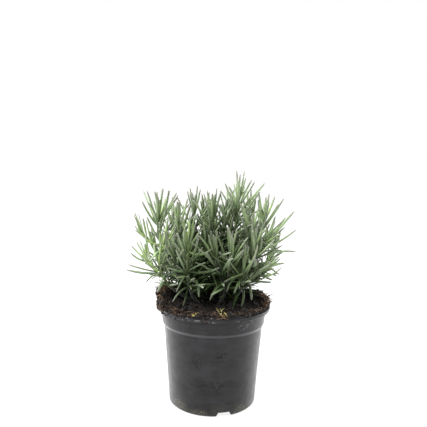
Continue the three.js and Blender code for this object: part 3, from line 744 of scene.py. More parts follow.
def grow_fill_leaf(places, stem, shoot, below, draw, owner):
    """A shorter leaf, tried on one side of the shoot after another, or left out."""
    azimuth = 2 * math.pi * draw()
    share = drawn_between(draw, FILL_SIZES)
    for attempt in range(FILL_ATTEMPTS):
        leaf = pair_leaf(shoot, below, azimuth, draw, attempt)
        shrink(leaf, share)
        curl(leaf, draw)
        if is_in_crown(leaf) and is_in_fill(leaf) and is_clear(places, leaf, owner, FILL_CROWDING):
            keep_leaf(places, stem, leaf, owner)
            return
        azimuth += GOLDEN_TURN


def grow_fill(places, stem, draw, owner):
    """Shorter leaves between a stem's pairs, wherever there is room for one."""
    bare_share = FILL_BARE["front"] if is_in_front(stem) else FILL_BARE["back"]
    for shoot in stem.shoots:
        lowest = (1 - bare_share * shoot.bare) * shoot.length
        below = FILL_FIRST * FILL_GAP
        while below < lowest:
            grow_fill_leaf(places, stem, shoot, below, draw, owner)
            gaps = FILL_OPEN["gaps"] if below < FILL_OPEN["depth"] else 1
            below += FILL_GAP * drawn_above(draw, FILL_STRAY) * gaps


def small_leaf(shoot, below, azimuth, angle, length, draw, breadth=SMALL["breadth"], lift=SMALL["lift"]):
    """A young leaf that stands up from the shoot at a given angle, or hangs with a negative lift."""
    t = max(0, 1 - below / shoot.length)
    heading = shoot_heading(shoot, t)
    outward = turned_about(unit(SIDE - heading * heading[0]), heading, azimuth)
    start = heading * math.cos(angle) + outward * math.sin(angle)
    root = shoot_point(shoot, t) + outward * ROOT_DEPTH * radius_at(shoot, t)
    points = bending_midline(root, start, lift * draw(), length)
    side = unit(np.cross(heading, outward))
    width = LEAF_WIDTH * (breadth + SMALL["stray"] * draw())
    twist = (draw() - 0.5) * STRAY["twist"]
    return SimpleNamespace(points=points, length=length, width=width, side=side, twist=twist, below=below)


def grow_buds(stem, draw):
    """The tuft of young leaves that ends each shoot."""
    for shoot in stem.shoots:
        for i in range(BUD_LEAVES):
            azimuth = shoot.turn + i * GOLDEN_TURN
            angle = math.radians(drawn_between(draw, BUD_ANGLES))
            length = LENGTH["at_tip"] * drawn_between(draw, BUD_SIZES)
            below = BUD_DEPTH * draw() ** 2
            leaf = small_leaf(shoot, below, azimuth, angle, length, draw, BUD_BREADTH)
            stem.small_leaves.append(leaf)


def grow_axil(stem, shoot, below, azimuth, draw):
    """The small leaves in the corner above one leaf of a pair."""
    for turn in AXIL_TURNS:
        angle = math.radians(drawn_between(draw, AXIL_ANGLES))
        length = LENGTH["most"] * drawn_between(draw, AXIL_SIZES)
        leaf = small_leaf(shoot, below, azimuth + turn, angle, length, draw)
        curl(leaf, draw)
        if is_in_fill(leaf):
            stem.small_leaves.append(leaf)


def grow_axils(stem, draw):
    """The small leaves above every pair that is far enough below its shoot's tip."""
    for shoot in stem.shoots:
        for below, azimuth in shoot.pairs:
            if below >= AXIL_LEAST:
                grow_axil(stem, shoot, below, azimuth, draw)
                grow_axil(stem, shoot, below, azimuth + math.pi, draw)


def low_leaf(shoot, growth, draw):
    """A leaf on the lower part of a shoot, anywhere round it."""
    below = shoot.length * (1 - (shoot.bare + growth["reach"]) * draw())
    angle = math.radians(drawn_between(draw, growth["angles"]))
    length = drawn_between(draw, growth["lengths"])
    azimuth = 2 * math.pi * draw()
    leaf = small_leaf(shoot, below, azimuth, angle, length, draw, growth["breadth"], growth["lift"])
    curl(leaf, draw)
    return leaf


def grow_undergrowth(stem, draw):
    """Short leaves on the lower, shaded part of each shoot."""
    count = UNDERGROWTH["front"] if is_in_front(stem) else UNDERGROWTH["back"]
    for shoot in stem.shoots:
        for _ in range(count):
            leaf = low_leaf(shoot, UNDERGROWTH, draw)
            is_inner = inner_share(leaf.points[-1:])[0] > UNDERGROWTH["least_inner"]
            if is_inner and is_above_soil(leaf, UNDERGROWTH["clearance"]):
                stem.undergrowth.append(leaf)


def grow_drooping(places, stem, draw, owner):
    """The lowest leaves, which arch over and hang towards the soil."""
    for shoot in stem.shoots:
        for _ in range(DROOPING["leaves"]):
            leaf = low_leaf(shoot, DROOPING, draw)
            is_free = is_above_soil(leaf, DROOPING["clearance"]) and is_in_fill(leaf)
            if is_free and is_clear(places, leaf, owner, FILL_CROWDING):
                keep_leaf(places, stem, leaf, owner)


def grow_small_leaves(plant, places):
    """All that grows between the pairs."""
    draw = draws_from(FILL_SEED)
    for stem in plant:
        bend_pairs(stem, draw)
    for owner, stem in enumerate(plant):
        grow_fill(places, stem, draw, owner)
    for stem in plant:
        stem.small_leaves = []
        stem.undergrowth = []
        grow_buds(stem, draw)
        grow_axils(stem, draw)
        grow_undergrowth(stem, draw)
    for owner, stem in enumerate(plant):
        grow_drooping(places, stem, draw, owner)


# ------------------------------------------------------------------ camera, light and floor

CAMERA_PLACE = (-0.0018, -0.5, 0.229)
CAMERA_PITCH = 6.0  # degrees down
CAMERA_ROLL = 1.13
CAMERA_SENSOR = 36
CAMERA_LENS = 46.1
FLOOR_SIZE = 8.0
FLOOR_TONE = 0.15
FLOOR_GLOW = 0.86
SKY_STRENGTH = 1.0
# Soft lamps: place, what they face, width, watts.
LAMPS = [
    ((-0.1, 0.1, 1.5), (0, 0, 0.12), 0.5, 52.0),
    ((-0.7, -0.9, 1.3), (0, 0, 0.14), 0.35, 34.0),
    ((-1.0, 0.6, 0.15), (0, 0, 0.05), 0.8, 34.0),
    ((1.0, 0.6, 0.15), (0, 0, 0.05), 0.8, 36.0),
]


def add_to_scene(name, data):
    thing = bpy.data.objects.new(name, data)
    bpy.context.scene.collection.objects.link(thing)
    return thing


def mesh_from(bm, name):
    """A mesh made from a bmesh, which is freed."""
    mesh = bpy.data.meshes.new(name)
    bm.to_mesh(mesh)
    bm.free()
    return mesh


def make_camera():
    data = bpy.data.cameras.new("camera")
    data.sensor_width = CAMERA_SENSOR
    data.lens = CAMERA_LENS
    camera = add_to_scene("camera", data)
    tilt = Matrix.Rotation(math.radians(90 - CAMERA_PITCH), 4, "X")
    roll = Matrix.Rotation(math.radians(CAMERA_ROLL), 4, "Z")
    camera.matrix_world = Matrix.Translation(CAMERA_PLACE) @ tilt @ roll
    bpy.context.scene.camera = camera


def make_lamps():
    for i, (place, target, width, watts) in enumerate(LAMPS):
        data = bpy.data.lights.new(f"lamp_{i}", "AREA")
        data.shape = "DISK"
        data.size = width
        data.energy = watts
        lamp = add_to_scene(f"lamp_{i}", data)
        away = Vector(place) - Vector(target)
        lamp.matrix_world = Matrix.Translation(place) @ away.to_track_quat("Z", "Y").to_matrix().to_4x4()


def make_sky():
    world = bpy.data.worlds.new("white_studio")
    world.use_nodes = True
    background = world.node_tree.nodes["Background"]
    background.inputs["Color"].default_value = (1, 1, 1, 1)
    background.inputs["Strength"].default_value = SKY_STRENGTH
    bpy.context.scene.world = world
    bpy.context.scene.view_settings.view_transform = "Standard"


def make_floor():
    bm = bmesh.new()
    bmesh.ops.create_grid(bm, x_segments=1, y_segments=1, size=FLOOR_SIZE / 2)
    floor = add_to_scene("floor", mesh_from(bm, "floor"))
    graph = Graph("pale_floor")
    graph.set(Base_Color=(FLOOR_TONE, FLOOR_TONE, FLOOR_TONE, 1), Roughness=0.9, Specular_IOR_Level=0.0)
    graph.set(Emission_Color=(1, 1, 1, 1), Emission_Strength=FLOOR_GLOW)
    floor.data.materials.append(graph.material)


# ------------------------------------------------------------------ materials

MIX_FACTOR, MIX_FIRST, MIX_SECOND, MIX_RESULT = 0, 6, 7, 2  # sockets of a colour mix


def shown(red, green, blue):
    """A colour given as a screen shows it, 0 to 255, in the form that the shaders take."""

    def linear(value):
        share = value / 255
        return share / 12.92 if share <= 0.04045 else ((share + 0.055) / 1.055) ** 2.4

    return (linear(red), linear(green), linear(blue), 1.0)


class Graph:
    """A material's nodes, made by short calls. Each call gives a socket to pass on."""

    def __init__(self, name):
        self.material = bpy.data.materials.new(name)
        self.material.use_nodes = True
        self.tree = self.material.node_tree
        self.shader = self.tree.nodes["Principled BSDF"]

    def put(self, value, socket):
        if isinstance(value, bpy.types.NodeSocket):
            self.tree.links.new(value, socket)
        else:
            socket.default_value = value

    def set(self, **values):
        """Puts values on the shader's sockets, an underscore standing for a space."""
        for name, value in values.items():
            self.put(value, self.shader.inputs[name.replace("_", " ")])

    def attribute(self, name):
        node = self.tree.nodes.new("ShaderNodeAttribute")
        node.attribute_name = name
        return node.outputs["Fac"]

    def place(self, stretch=(1, 1, 1), shift=(0, 0, 0)):
        """The place on the piece, in metres, with each axis stretched and then shifted."""
        where = self.tree.nodes.new("ShaderNodeTexCoord")
        mapping = self.tree.nodes.new("ShaderNodeMapping")
        mapping.inputs["Scale"].default_value = stretch
        mapping.inputs["Location"].default_value = shift
        self.tree.links.new(where.outputs["Object"], mapping.inputs["Vector"])
        return mapping.outputs["Vector"]

    def height(self):
        parts = self.tree.nodes.new("ShaderNodeSeparateXYZ")
        self.tree.links.new(self.place(), parts.inputs["Vector"])
        return parts.outputs["Z"]

    def rising(self, low, high):
        """0 below the lower height in mm and 1 above the higher one."""
        return self.ease(self.height(), low * MM, high * MM)

    def falling(self, low, high):
        """1 below the lower height in mm and 0 above the higher one."""
        return self.fall(self.height(), low * MM, high * MM)

    def spot(self, centre, radii):
        """1 in the middle of an egg-shaped place given in mm, and 0 outside it."""
        stretch = [1 / (radius * MM) for radius in radii]
        shift = [-at * MM * factor for at, factor in zip(centre, stretch)]
        away = self.tree.nodes.new("ShaderNodeVectorMath")
        away.operation = "LENGTH"
        self.tree.links.new(self.place(stretch, shift), away.inputs[0])
        return self.fall(away.outputs["Value"], *SPOT_EDGE)

    def noise(self, size, detail=3, stretch=(1, 1, 1), rough=0.5):
        """Noise with lumps of a given size in millimetres."""
        node = self.tree.nodes.new("ShaderNodeTexNoise")
        node.inputs["Scale"].default_value = 1 / (size * MM)
        node.inputs["Detail"].default_value = detail
        node.inputs["Roughness"].default_value = rough
        self.tree.links.new(self.place(stretch), node.inputs["Vector"])
        return node.outputs["Fac"]

    def sum(self, operation, first, second):
        node = self.tree.nodes.new("ShaderNodeMath")
        node.operation = operation
        self.put(first, node.inputs[0])
        self.put(second, node.inputs[1])
        return node.outputs[0]

    def times(self, first, second):
        return self.sum("MULTIPLY", first, second)

    def rest_of(self, value):
        return self.sum("SUBTRACT", 1.0, value)

    def ease(self, value, low, high):
        """0 below the low value, 1 above the high one, with a smooth step between them."""
        node = self.tree.nodes.new("ShaderNodeMapRange")
        node.interpolation_type = "SMOOTHSTEP"
        self.put(value, node.inputs["Value"])
        node.inputs["From Min"].default_value = low
        node.inputs["From Max"].default_value = high
        return node.outputs["Result"]

    def fall(self, value, low, high):
        """1 below the low value, 0 above the high one."""
        return self.rest_of(self.ease(value, low, high))

    def mix(self, factor, first, second):
        node = self.tree.nodes.new("ShaderNodeMix")
        node.data_type = "RGBA"
        self.put(factor, node.inputs[MIX_FACTOR])
        self.put(first, node.inputs[MIX_FIRST])
        self.put(second, node.inputs[MIX_SECOND])
        return node.outputs[MIX_RESULT]

    def tinted(self, colour, mask, strength, shade):
        """A colour, covered with a shade where the mask is 1, as strongly as given."""
        return self.mix(self.times(mask, strength), colour, shown(*shade))

    def ramp(self, factor, stops):
        node = self.tree.nodes.new("ShaderNodeValToRGB")
        elements = node.color_ramp.elements
        while len(elements) < len(stops):
            elements.new(1.0)
        for element, (position, colour) in zip(elements, stops):
            element.position = position
            element.color = colour
        self.put(factor, node.inputs["Fac"])
        return node.outputs["Color"]

    def bump(self, height, depth, strength=1.0, below=None):
        """Relief of a given depth in millimetres, on top of another one if it is given."""
        node = self.tree.nodes.new("ShaderNodeBump")
        node.inputs["Distance"].default_value = depth * MM
        node.inputs["Strength"].default_value = strength
        self.tree.links.new(height, node.inputs["Height"])
        if below is not None:
            self.tree.links.new(below, node.inputs["Normal"])
        return node.outputs["Normal"]


# Colours of the leaves, the stems, the pot and the peat, 0 to 255 as a screen shows them.
LEAF_SHADES = {
    "grown": (100, 125, 78),
    "young": (150, 180, 76),
    "near_root": (90, 120, 62),
    "patch": (106, 122, 100),
    "dark": (36, 54, 24),
    "pale": (146, 160, 124),
    "underside": (122, 140, 104),
    # painted shade in the groove along the midrib
    "groove": (70, 92, 50),
    # painted shade where the margins roll under
    "painted_margin_shade": (60, 72, 52),
    "tip": (92, 84, 82),
    "felt": (150, 160, 140),
    # painted shade round the roots of older leaves
    "painted_root_shade": (28, 46, 16),
    # painted shade deep inside the plant
    "inside": (42, 54, 31),
}
STEM_SHADES = {
    "green": (92, 110, 68),
    "young": (128, 152, 76),
    "bark": (40, 33, 26),
    "streak": (82, 70, 56),
    "felt": (140, 148, 126),
    # painted shade deep inside the plant
    "inside": (18, 20, 12),
}
POT_SHADES = {
    "black": (18, 18, 19),
    "smear": (30, 30, 32),
    "band": (42, 42, 45),
    "mark": (22, 22, 23),
    "smudge": (8, 8, 9),
    # painted highlight along the shoulder's ledge
    "shoulder": (78, 78, 82),
    "dust": (112, 108, 84),
    "thick_dust": (132, 128, 108),
    "rim": (140, 140, 142),
    "scuff": (136, 136, 140),
    "faint_scuff": (110, 110, 112),
}
# The peat's tones from 0 to 1: black, reddish brown, fibre and pale straw.
PEAT_SHADES = [
    (0.0, (5, 4, 3)),
    (0.3, (19, 14, 10)),
    (0.55, (52, 36, 24)),
    (0.8, (102, 80, 56)),
    (1.0, (174, 170, 106)),
]


def leaf_colour(graph, along, across, under, fresh):
    """Grey-green from leaf to leaf, paler below, mauve at the tip, with painted shade on the margins and
    in the groove.
    """
    shades = LEAF_SHADES
    young = graph.times(fresh, graph.fall(along, 0.3, 1.0))
    colour = graph.mix(young, shown(*shades["grown"]), shown(*shades["young"]))
    colour = graph.tinted(colour, graph.fall(along, 0.1, 0.6), 0.4, shades["near_root"])
    colour = graph.tinted(colour, graph.ease(graph.noise(9, 2), 0.35, 0.7), 0.3, shades["patch"])
    draw = graph.attribute("draw")
    colour = graph.tinted(colour, graph.fall(draw, 0.0, 0.6), 0.7, shades["dark"])
    colour = graph.tinted(colour, graph.ease(draw, 0.55, 1.0), 0.6, shades["pale"])
    colour = graph.tinted(colour, under, 0.45, shades["underside"])
    # Painted shade in the crease of the midrib's groove.
    groove = graph.times(graph.fall(across, 0.05, 0.3), graph.fall(under, 0.2, 0.6))
    colour = graph.tinted(colour, groove, 0.3, shades["groove"])
    # Painted shade on the rolled-under margins.
    colour = graph.tinted(colour, graph.ease(across, 0.6, 1.0), 0.45, shades["painted_margin_shade"])
    return graph.tinted(colour, graph.ease(along, 0.64, 0.98), 0.7, shades["tip"])


def leaf_finish():
    """Felted lavender leaf, darkened by painted shade and without gloss deep inside the plant."""
    graph = Graph("lavender_leaf")
    along = graph.attribute("along")
    fresh = graph.attribute("fresh")
    colour = leaf_colour(graph, along, graph.attribute("across"), graph.attribute("under"), fresh)
    felt = graph.ease(graph.noise(0.35, 2), 0.3, 0.7)
    colour = graph.tinted(colour, felt, 0.22, LEAF_SHADES["felt"])
    # Painted shade: older leaves are darker towards their roots, where the leaves round them shade them.
    rooted = graph.times(graph.fall(along, 0.05, 0.5), graph.rest_of(fresh))
    colour = graph.tinted(colour, rooted, 0.6, LEAF_SHADES["painted_root_shade"])
    # Painted shade: deep inside the plant the colour turns dark green, and the gloss and sheen fade.
    inner = graph.attribute("inner")
    outer = graph.rest_of(inner)
    colour = graph.mix(inner, colour, shown(*LEAF_SHADES["inside"]))
    graph.set(Base_Color=colour, Roughness=0.55, Specular_IOR_Level=graph.times(outer, 0.35))
    graph.set(Sheen_Weight=graph.times(outer, 0.1), Sheen_Roughness=0.5)
    graph.set(Normal=graph.bump(graph.noise(0.3, 2), 0.08))
    return graph.material


def stem_finish():
    """The square stem: green and felted above, woody brown towards its foot, with painted shade deep
    inside the plant.
    """
    graph = Graph("lavender_stem")
    shades = {name: shown(*shade) for name, shade in STEM_SHADES.items()}
    colour = graph.mix(graph.attribute("fresh"), shades["green"], shades["young"])
    streaks = graph.ease(graph.noise(1.1, 3, (1, 1, 0.18)), 0.35, 0.68)
    bark = graph.mix(streaks, shades["bark"], shades["streak"])
    colour = graph.mix(graph.ease(graph.attribute("woody"), 0.15, 0.65), colour, bark)
    felt = graph.ease(graph.noise(0.35, 2), 0.3, 0.7)
    colour = graph.mix(graph.times(felt, 0.2), colour, shades["felt"])
    # Painted shade: the stem turns near black deep inside the plant.
    colour = graph.mix(graph.attribute("inner"), colour, shades["inside"])
    relief = graph.bump(graph.noise(0.8, 3, (1, 1, 0.2)), 0.2)
    graph.set(Base_Color=colour, Roughness=0.78, Specular_IOR_Level=0.25)
    graph.set(Sheen_Weight=0.2, Sheen_Roughness=0.5, Normal=relief)
    return graph.material


# Places on the pot in mm, each with how far it reaches along each axis. Smudges and scuffs
# have a strength too.
SMUDGES = [
    ((8, -45, 58), (7, 5, 4), 0.45),
    ((6, -43, 28), (7, 5, 7), 0.16),
    ((-15, -42, 50), (7, 6, 9), 0.16),
    ((-8, -42, 30), (12, 5, 6), 0.12),
]
DUST = [
    ((-28, -27, 5), (12, 10, 8)),
    ((-12, -38, 2), (12, 6, 5)),
    ((24, -30, 3), (9, 8, 6)),
]
SCUFFS = [
    ((-26, -41, 86), (0.8, 3, 3), 0.5),
    ((-13, -51, 90), (8, 3, 1), 0.5),
    ((0, -52, 89.5), (3, 2, 0.8), 0.45),
    ((26, -41, 83), (8, 6, 4), 0.2),
    ((33, -36, 85), (7, 7, 3), 0.2),
]
SPOT_EDGE = (0.5, 1.1)  # shares of a place's reach between which it fades
# Heights in mm between which the finish changes.
DUST_FADES = (1, 16)
# the painted highlight along the shoulder's ledge
SHOULDER_HIGHLIGHT_STARTS = (73.2, 74.4)
SHOULDER_HIGHLIGHT_ENDS = (75.6, 76.8)
SCUFFS_START = (74, 80)
RIM_STARTS = (87, 89.5)
GLOSS_ENDS = (91.2, 92.2)


def plastic_colour(graph):
    """Black plastic, smeared and with faint bands round the pot."""
    smears = graph.ease(graph.noise(15, 5, (1, 1, 1.5), 0.6), 0.4, 0.62)
    colour = graph.mix(smears, shown(*POT_SHADES["black"]), shown(*POT_SHADES["smear"]))
    bands = graph.ease(graph.noise(26, 4, (0.4, 0.4, 9), 0.6), 0.4, 0.65)
    colour = graph.tinted(colour, bands, 0.25, POT_SHADES["band"])
    marks = graph.ease(graph.noise(3.2, 5, (1, 1, 1), 0.7), 0.6, 0.72)
    return graph.tinted(colour, marks, 0.6, POT_SHADES["mark"])


def smudged(graph, colour, glossy):
    """The colour and the gloss with the smudges on them."""
    for centre, radii, strength in SMUDGES:
        smudge = graph.times(graph.spot(centre, radii), graph.ease(graph.noise(2.6, 5), 0.4, 0.62))
        colour = graph.tinted(colour, smudge, 0.85, POT_SHADES["smudge"])
        glossy = graph.times(glossy, graph.rest_of(graph.times(smudge, strength)))
    return colour, glossy


def dusted(graph, colour):
    """The colour with dust low on the body, thickest in a few places at its foot."""
    specks = graph.ease(graph.noise(1, 6, (1, 1, 1), 0.8), 0.48, 0.64)
    dusty = graph.times(graph.ease(graph.noise(26, 2), 0.42, 0.6), specks)
    colour = graph.tinted(colour, graph.times(graph.falling(*DUST_FADES), dusty), 0.5, POT_SHADES["dust"])
    thick = graph.times(specks, 0.7)
    for centre, radii in DUST:
        here = graph.times(graph.spot(centre, radii), thick)
        colour = graph.mix(here, colour, shown(*POT_SHADES["thick_dust"]))
    return colour


def scuffed(graph, colour):
    """The colour with the rim's white wear, the scuffs, and fainter ones all over the band."""
    rim = graph.times(graph.rising(*RIM_STARTS), graph.ease(graph.noise(2.6, 4, (1, 1, 2.2)), 0.64, 0.7))
    colour = graph.tinted(colour, rim, 0.6, POT_SHADES["rim"])
    for centre, radii, strength in SCUFFS:
        worn = graph.times(graph.spot(centre, radii), graph.ease(graph.noise(1.7, 5), 0.48, 0.62))
        colour = graph.tinted(colour, worn, strength, POT_SHADES["scuff"])
    faint = graph.ease(graph.noise(5, 5, (1, 1, 1.6), 0.75), 0.6, 0.75)
    faint = graph.times(graph.rising(*SCUFFS_START), faint)
    return graph.tinted(colour, faint, 0.3, POT_SHADES["faint_scuff"])


def pot_finish():
    """Black moulded plastic: satin, smudged and dusty, scuffed white round the rim; a painted highlight on
    the shoulder.
    """
    graph = Graph("pot_plastic")
    colour = plastic_colour(graph)
    colour, glossy = smudged(graph, colour, graph.falling(*GLOSS_ENDS))
    # Painted highlight: a pale line along the shoulder's ledge, where it catches the light from above.
    shoulder = graph.times(graph.rising(*SHOULDER_HIGHLIGHT_STARTS), graph.falling(*SHOULDER_HIGHLIGHT_ENDS))
    colour = graph.tinted(colour, shoulder, 0.4, POT_SHADES["shoulder"])
    colour = scuffed(graph, dusted(graph, colour))
    roughness = graph.sum("MULTIPLY_ADD", graph.ease(graph.noise(6, 4), 0.3, 0.7), 0.14)
    roughness.node.inputs[2].default_value = 0.29
    relief = graph.bump(graph.noise(0.5, 3), 0.03)
    relief = graph.bump(graph.noise(7, 2, (1, 1, 0.5)), 0.25, 0.5, relief)
    graph.set(Base_Color=colour, Roughness=roughness, Normal=relief)
    graph.set(Specular_IOR_Level=graph.times(glossy, 0.25), Sheen_Weight=graph.times(glossy, 0.2))
    graph.set(Sheen_Roughness=0.35)
    return graph.material


def peat_finish():
    """Moist dark peat, coloured by each point's tone."""
    graph = Graph("peat")
    grain = graph.times(graph.ease(graph.noise(0.9, 4), 0.3, 0.75), 0.22)
    stops = [(tone, shown(*shade)) for tone, shade in PEAT_SHADES]
    colour = graph.ramp(graph.sum("ADD", graph.attribute("tone"), grain), stops)
    relief = graph.bump(graph.noise(0.7, 4), 0.35)
    graph.set(Base_Color=colour, Roughness=0.9, Specular_IOR_Level=0.3, Normal=relief)
    return graph.material


# ------------------------------------------------------------------ making pieces


def make_piece(name, bm, materials, node):
    """A finished piece from a bmesh in metres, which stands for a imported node."""
    piece = add_to_scene(name, mesh_from(bm, name))
    for material in materials:
        piece.data.materials.append(material)
    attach(piece, "root")
    if node:
        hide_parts(node)
    return piece


def set_marks(mesh, marks):
    """Writes named values to a mesh's points, one list for each name."""
    for name, values in marks.items():
        mesh.attributes.new(name, "FLOAT", "POINT").data.foreach_set("value", np.array(values, np.float32))


def smooth_faces(bm, crease):
    """Shades a mesh smooth, apart from the edges sharper than the crease."""
    for face in bm.faces:
        face.smooth = True
    for edge in bm.edges:
        edge.smooth = edge.calc_face_angle(0) < crease


def extruded(bm, edges):
    """Extrudes a ring of edges, and gives the new ring's points and edges."""
    made = bmesh.ops.extrude_edge_only(bm, edges=edges)["geom"]
    points = [part for part in made if isinstance(part, bmesh.types.BMVert)]
    inside = set(points)
    ring = [e for e in made if isinstance(e, bmesh.types.BMEdge) and inside.issuperset(e.verts)]
    return points, ring


def spun(profile, sides):
    """A closed body turned about the Z axis from a profile of [radius, height] in mm."""
    bm = bmesh.new()
    points = [bm.verts.new((radius * MM, 0, z * MM)) for radius, z in profile]
    line = [bm.edges.new(pair) for pair in zip(points, points[1:])]
    bmesh.ops.spin(
        bm,
        geom=points + line,
        cent=(0, 0, 0),
        axis=(0, 0, 1),
        angle=2 * math.pi,
        steps=sides,
        use_merge=True,
    )
    bmesh.ops.remove_doubles(bm, verts=bm.verts, dist=CLOSE)
    bmesh.ops.recalc_face_normals(bm, faces=bm.faces)
    return bm


# ------------------------------------------------------------------ pot


def body_radius(z):
    """The radius of the outside of the pot's body, below the shoulder."""
    share = (z - BODY_FOOT_Z) / (SHOULDER_Z - BODY_FOOT_Z)
    return BODY_FOOT_RADIUS + share * (BODY_TOP_RADIUS - BODY_FOOT_RADIUS)


def pot_profile():
    floor_top = FLOOR_Z + FLOOR_WALL
    lip_under = POT_HEIGHT - LIP_WALL
    lip_foot = POT_HEIGHT - LIP_DROP
    inside_band = BAND_TOP_RADIUS - WALL
    return [
        (0, 0),
        (PAD_RADIUS, 0),
        (PAD_RADIUS + FLOOR_SLOPE, FLOOR_Z),
        (FOOT_RADIUS - RING_WIDTH + RING_LEAN, FLOOR_Z),
        (FOOT_RADIUS - RING_WIDTH, 0),
        (FOOT_RADIUS, 0),
        (BODY_FOOT_RADIUS, BODY_FOOT_Z),
        (BODY_TOP_RADIUS, SHOULDER_Z),
        (BAND_FOOT_RADIUS, BAND_FOOT_Z),
        (BAND_TOP_RADIUS, lip_foot),
        (BAND_TOP_RADIUS + LIP_LEAN, lip_under),
        (LIP_RADIUS - LIP_WALL, lip_under),
        (LIP_RADIUS - LIP_WALL, lip_foot),
        (LIP_RADIUS - LIP_EDGE / 2, lip_foot),
        (LIP_RADIUS, lip_foot + LIP_EDGE),
        (LIP_RADIUS, POT_HEIGHT - LIP_EDGE),
        (LIP_RADIUS - LIP_EDGE, POT_HEIGHT),
        (BAND_TOP_RADIUS - RIM_EASE, POT_HEIGHT),
        (inside_band + RIM_EASE, POT_HEIGHT - LIP_EDGE),
        (BAND_FOOT_RADIUS - WALL, BAND_FOOT_Z - SHOULDER_DROP),
        (BODY_TOP_RADIUS - WALL, SHOULDER_Z - 2 * SHOULDER_DROP),
        (body_radius(floor_top + FLOOR_SLOPE) - WALL, floor_top + FLOOR_SLOPE),
        (FOOT_RADIUS - FLOOR_EDGE, floor_top),
        (PAD_RADIUS + FLOOR_SLOPE - PAD_STEP, floor_top),
        (PAD_RADIUS - PAD_STEP, FLOOR_WALL),
        (0, FLOOR_WALL),
    ]


def is_level_ring(edge):
    """Whether an edge runs round the pot and not up it."""
    low, high = edge.verts
    if abs(low.co.z - high.co.z) >= CLOSE:
        return False
    return abs(low.co.xy.length - high.co.xy.length) < CLOSE


def round_rings(bm):
    """Rounds the sharp rings of edges that run round a turned body."""
    rings = [e for e in bm.edges if is_level_ring(e) and e.calc_face_angle(0) > SHARP_RING]
    bmesh.ops.bevel(
        bm,
        geom=rings,
        offset=ROUNDING * MM,
        offset_type="OFFSET",
        segments=2,
        profile=0.5,
        affect="EDGES",
        clamp_overlap=True,
        material=-1,
    )


def notch_cutter(bm, turn):
    """A wedge that cuts one drain notch through the foot ring."""
    outline = [
        (-NOTCH["foot"] / 2, -NOTCH["below"]),
        (NOTCH["foot"] / 2, -NOTCH["below"]),
        (NOTCH["foot"] / 2, 0),
        (NOTCH["top"] / 2, NOTCH["height"]),
        (-NOTCH["top"] / 2, NOTCH["height"]),
        (-NOTCH["foot"] / 2, 0),
    ]
    near = -(FOOT_RADIUS + NOTCH["depth"] / 2) * MM
    points = [bm.verts.new((x * MM, near, z * MM)) for x, z in outline]
    face = bm.faces.new(points)
    made = bmesh.ops.extrude_face_region(bm, geom=[face])["geom"]
    far = [part for part in made if isinstance(part, bmesh.types.BMVert)]
    bmesh.ops.translate(bm, verts=far, vec=(0, NOTCH["depth"] * MM, 0))
    spin = Matrix.Rotation(turn, 4, "Z")
    bmesh.ops.transform(bm, matrix=spin, verts=points + far)


def drain_cutter(bm, turn):
    height = FLOOR_Z + FLOOR_WALL / 2
    place = Matrix.Rotation(turn, 4, "Z") @ Matrix.Translation((0, -DRAIN["circle"] * MM, height * MM))
    bmesh.ops.create_cone(
        bm,
        cap_ends=True,
        segments=DRAIN["sides"],
        radius1=DRAIN["radius"] * MM,
        radius2=DRAIN["radius"] * MM,
        depth=DRAIN["depth"] * MM,
        matrix=place,
    )


def pot_cutters():
    bm = bmesh.new()
    for i in range(NOTCH["count"]):
        notch_cutter(bm, math.radians(NOTCH["turn"]) + i * 2 * math.pi / NOTCH["count"])
    for i in range(DRAIN["count"]):
        drain_cutter(bm, (i + 0.5) * 2 * math.pi / DRAIN["count"])
    bmesh.ops.recalc_face_normals(bm, faces=bm.faces)
    return add_to_scene("pot_cutters", mesh_from(bm, "pot_cutters"))


def make_pot():
    bm = spun(pot_profile(), POT_SIDES)
    round_rings(bm)
    turned = add_to_scene("turned_pot", mesh_from(bm, "turned_pot"))
    cutters = pot_cutters()
    cut = turned.modifiers.new("holes", "BOOLEAN")
    cut.operation = "DIFFERENCE"
    cut.solver = "EXACT"
    cut.object = cutters
    depsgraph = bpy.context.evaluated_depsgraph_get()
    finished = bmesh.new()
    finished.from_object(turned, depsgraph)
    bpy.data.objects.remove(turned)
    bpy.data.objects.remove(cutters)
    smooth_faces(finished, CREASE)
    make_piece("nursery_pot", finished, [pot_finish()], "pot")


# ------------------------------------------------------------------ soil

SOIL_MARK = 200  # heights above this name the rings of the soil's upper side until they are moved
SOIL_PATCH = 6  # mm across the patches of tone
SOIL_TONE = (0.02, 0.24)  # the tone, and how much a patch changes it
RAGS = {"depth": 0.8, "count": 14}  # how the soil's edge has crumbled
CRUMB_SEED = 4409
FIBRE_SEED = 9973
CLOD_SEED = 6151

CRUMBS = 2300  # strewn on the soil
EDGE_CRUMBS = 900  # on the upright face of the soil's edge
LIP_CRUMBS = 1500  # spilt on the lip
CRUMB_SIZES = (0.45, 1.5)  # half a crumb's length
LUMP_SHARE = 0.07  # of the crumbs are lumps
LUMP_SCALE = 2.1
LIP_SCALE = 0.8
CRUMB_FLAT = (0.4, 0.5)  # its height as a share of its length: the least, and how much more
CRUMB_RISE = 0.25  # of its size, above the ground
CRUMB_TONE = {"edge": 0.15, "lip": 0.1, "lip_sides": 0.4, "stray": 0.5, "growth": 2.6, "most": 0.6}
SCRAP_SIZE = (0.9, 0.4)  # of the crumbs at the pale scraps
SCRAP_FLAT = 0.5
SCRAP_TONE = 0.9
SCRAP_RISE = 0.8  # above the ground
# How a ball is crumpled: how far each point stands out, how narrow it is, and how far it tilts.
CRUMPLE = {"points": (0.7, 0.55), "width": (0.55, 0.45), "tilt": 0.8}

